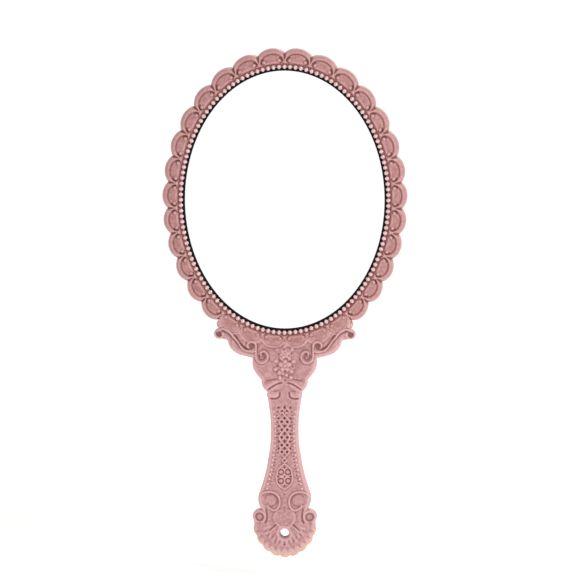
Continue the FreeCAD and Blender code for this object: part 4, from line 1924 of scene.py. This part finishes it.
@dataclass(frozen=True)
class Studio:
    """A pale floor, soft lights and the camera."""

    azimuth: float = 2.5
    elevation: float = 5.5
    distance: float = 1.95
    field: float = 0.2796
    aim: tuple[float, float, float] = (0.0010, -0.005, 0.0768)
    sensor: float = 36.0
    floor_gap: float = 0.012
    floor_radius: float = 1.2

    def camera(self) -> None:
        """Make the camera."""
        data = bpy.data.cameras.new("camera")
        data.sensor_width = self.sensor
        data.lens = self.sensor * self.distance / self.field
        data.clip_start = 0.05
        data.clip_end = 20.0
        camera = bpy.data.objects.new("camera", data)
        bpy.context.scene.collection.objects.link(camera)
        around, up = math.radians(self.azimuth), math.radians(self.elevation)
        back = Vector((math.sin(around) * math.cos(up), -math.cos(around) * math.cos(up), math.sin(up)))
        camera.location = Vector(self.aim) + back * self.distance
        camera.rotation_euler = (-back).to_track_quat("-Z", "Y").to_euler()
        bpy.context.scene.camera = camera

    def floor(self) -> None:
        """Make the pale floor disc just under the mirror."""
        low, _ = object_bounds()
        work = bmesh.new()
        bmesh.ops.create_circle(work, cap_ends=True, segments=96, radius=self.floor_radius)
        bmesh.ops.translate(work, verts=work.verts, vec=(0.0, 0.0, low.z - self.floor_gap))
        mesh = bpy.data.meshes.new("floor")
        work.to_mesh(mesh)
        work.free()
        material = bpy.data.materials.new("pale_floor")
        material.use_nodes = True
        graph = Graph(material.node_tree)
        place = graph.add("ShaderNodeTexCoord", {}, {}, "Object")
        cloud = graph.add(
            "ShaderNodeTexNoise", {}, {"Vector": place, "Scale": 6.0, "Detail": 3.0}, "Fac"
        )
        tint = graph.blend(cloud, (0.93, 0.93, 0.93, 1.0), (0.96, 0.958, 0.955, 1.0))
        shader = graph.add(
            "ShaderNodeBsdfPrincipled",
            {},
            {
                "Base Color": tint,
                "Roughness": 0.9,
                "Emission Color": (1.0, 1.0, 1.0, 1.0),
                "Emission Strength": 0.35,
            },
        )
        graph.add("ShaderNodeOutputMaterial", {}, {"Surface": shader})
        mesh.materials.append(material)
        floor = bpy.data.objects.new("floor", mesh)
        bpy.context.scene.collection.objects.link(floor)
        floor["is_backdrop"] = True

    @staticmethod
    def lamp(name: str, place: tuple[float, float, float], size: float, power: float) -> None:
        """Hang one soft square light that looks at the mirror.

        Args:
            name: the lamp's name.
            place: where it hangs, in metres.
            size: how wide it is, in metres.
            power: its power, in watts.
        """
        data = bpy.data.lights.new(name, "AREA")
        data.shape = "DISK"
        data.size = size
        data.energy = power
        lamp = bpy.data.objects.new(name, data)
        bpy.context.scene.collection.objects.link(lamp)
        lamp.location = place
        lamp.rotation_euler = (Vector((0.0, 0.0, 0.07)) - Vector(place)).to_track_quat("-Z", "Y").to_euler()

    def lights(self) -> None:
        """Hang the lights and set the white surroundings."""
        self.lamp("key", (0.75, -0.85, 0.75), 0.35, 8.0)
        self.lamp("fill", (-0.9, -1.1, 0.35), 0.9, 2.4)
        self.lamp("back", (0.3, 1.1, 0.8), 0.8, 4.0)
        world = bpy.data.worlds.new("white_room")
        world.use_nodes = True
        graph = Graph(world.node_tree)
        seen = graph.add("ShaderNodeLightPath", {}, {}, "Is Camera Ray")
        glossy = graph.other(seen, "Is Glossy Ray")
        bright = seen.maths("MAXIMUM", glossy)
        soft = graph.add("ShaderNodeBackground", {}, {"Color": (1.0, 0.99, 0.985, 1.0), "Strength": 0.5})
        white = graph.add("ShaderNodeBackground", {}, {"Color": (1.0, 1.0, 1.0, 1.0), "Strength": 1.05})
        both = graph.add("ShaderNodeMixShader", {}, {0: bright, 1: soft, 2: white})
        graph.add("ShaderNodeOutputWorld", {}, {"Surface": both})
        bpy.context.scene.world = world
        bpy.context.scene.view_settings.view_transform = "Standard"


# ---------------------------------------------------------------- the whole mirror


def dress_node(name: str, material: bpy.types.Material) -> None:
    """Give a carried-over node its finish in every slot."""
    node = frame["nodes"][name]
    for slot in node.material_slots:
        slot.material = material


def bead_ring(oval: Oval, grow: float, depth: float, turned: float = 0.0) -> np.ndarray:
    """A closed path along the grown oval, at a depth."""
    x, z = oval.at(np.linspace(0.0, 2.0 * math.pi, 720, endpoint=False) + turned, grow)
    return np.column_stack([x, np.full_like(x, depth), z])


def build_shells(oval: Oval) -> None:
    """Make both shells' rims, handles, panel and beads.

    Args:
        oval: the seen glass's oval.
    """
    front_rim = Rim(oval, Side.FRONT, SHADED_ROSE_RIM)
    tree = front_rim.tree()
    front_rim.build(tree, "front_rim", ["front_frame"])
    back_rim = Rim(oval, Side.BACK, TAN, lobe_long=8.0, pocket_out=3.0, lip_out=2.0, rebate=2.2)
    back_rim.build(tree, "back_rim", ["back_cover"])
    hole = Hole.from_record("hanging_hole")
    front = Handle(oval, Side.FRONT, ROSE, Fan(14.9, 15.2, 13), hole)
    front.build("front_handle")
    back = Handle(oval, Side.BACK, TAN, Fan(15.3, 17.9, 9), hole, rounding=2.8, edge_drop=2.8)
    back.build("back_handle")
    BackPanel(oval, TAN).build("back_panel")
    ring = BeadRow(HIGHLIGHTED_BEAD, 0.96, 136, 1.12)
    beads = ring.tree()
    ring.build(beads, "glass_beads", [bead_ring(oval, 1.95, -4.5)], True)
    grip = BeadRow(HIGHLIGHTED_BEAD, 0.56, 17)
    grip.build(beads, "front_grip_beads", front.bead_paths(5.45), False)
    # the back beads take the tan moulding's highlight colour as their body: painted highlight
    highlighted_tan_bead = MouldedPlastic("tan_bead", "back_shell", TAN.raised, TAN.raised, TAN.body, 0.4)
    BeadRow(highlighted_tan_bead, 0.56, 17).build(beads, "back_grip_beads", back.bead_paths(5.45), False)
    BeadRow(highlighted_tan_bead, 0.9, 110).build(beads, "back_beads", [bead_ring(oval, -6.5, 4.9)], True)


def main() -> None:
    """Build the mirror, piece by piece."""
    logging.basicConfig(level=logging.INFO, format="%(message)s")
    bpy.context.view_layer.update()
    oval = Oval.from_glass(2.6)
    LOG.info("oval: %.2f x %.2f at z %.2f", oval.half_width, oval.half_height, oval.centre_z)
    build_shells(oval)
    dress_node("mirror_glass", GLASS.make())
    dress_node("silver_coating", BACKING.make())
    dress_node("glass_gasket", GASKET.make())
    dress_node("tape_pads", TAPE.make())
    dress_node("foam_pad", FOAM.make())
    studio = Studio()
    studio.camera()
    studio.floor()
    studio.lights()


if __name__ == "__main__":
    main()
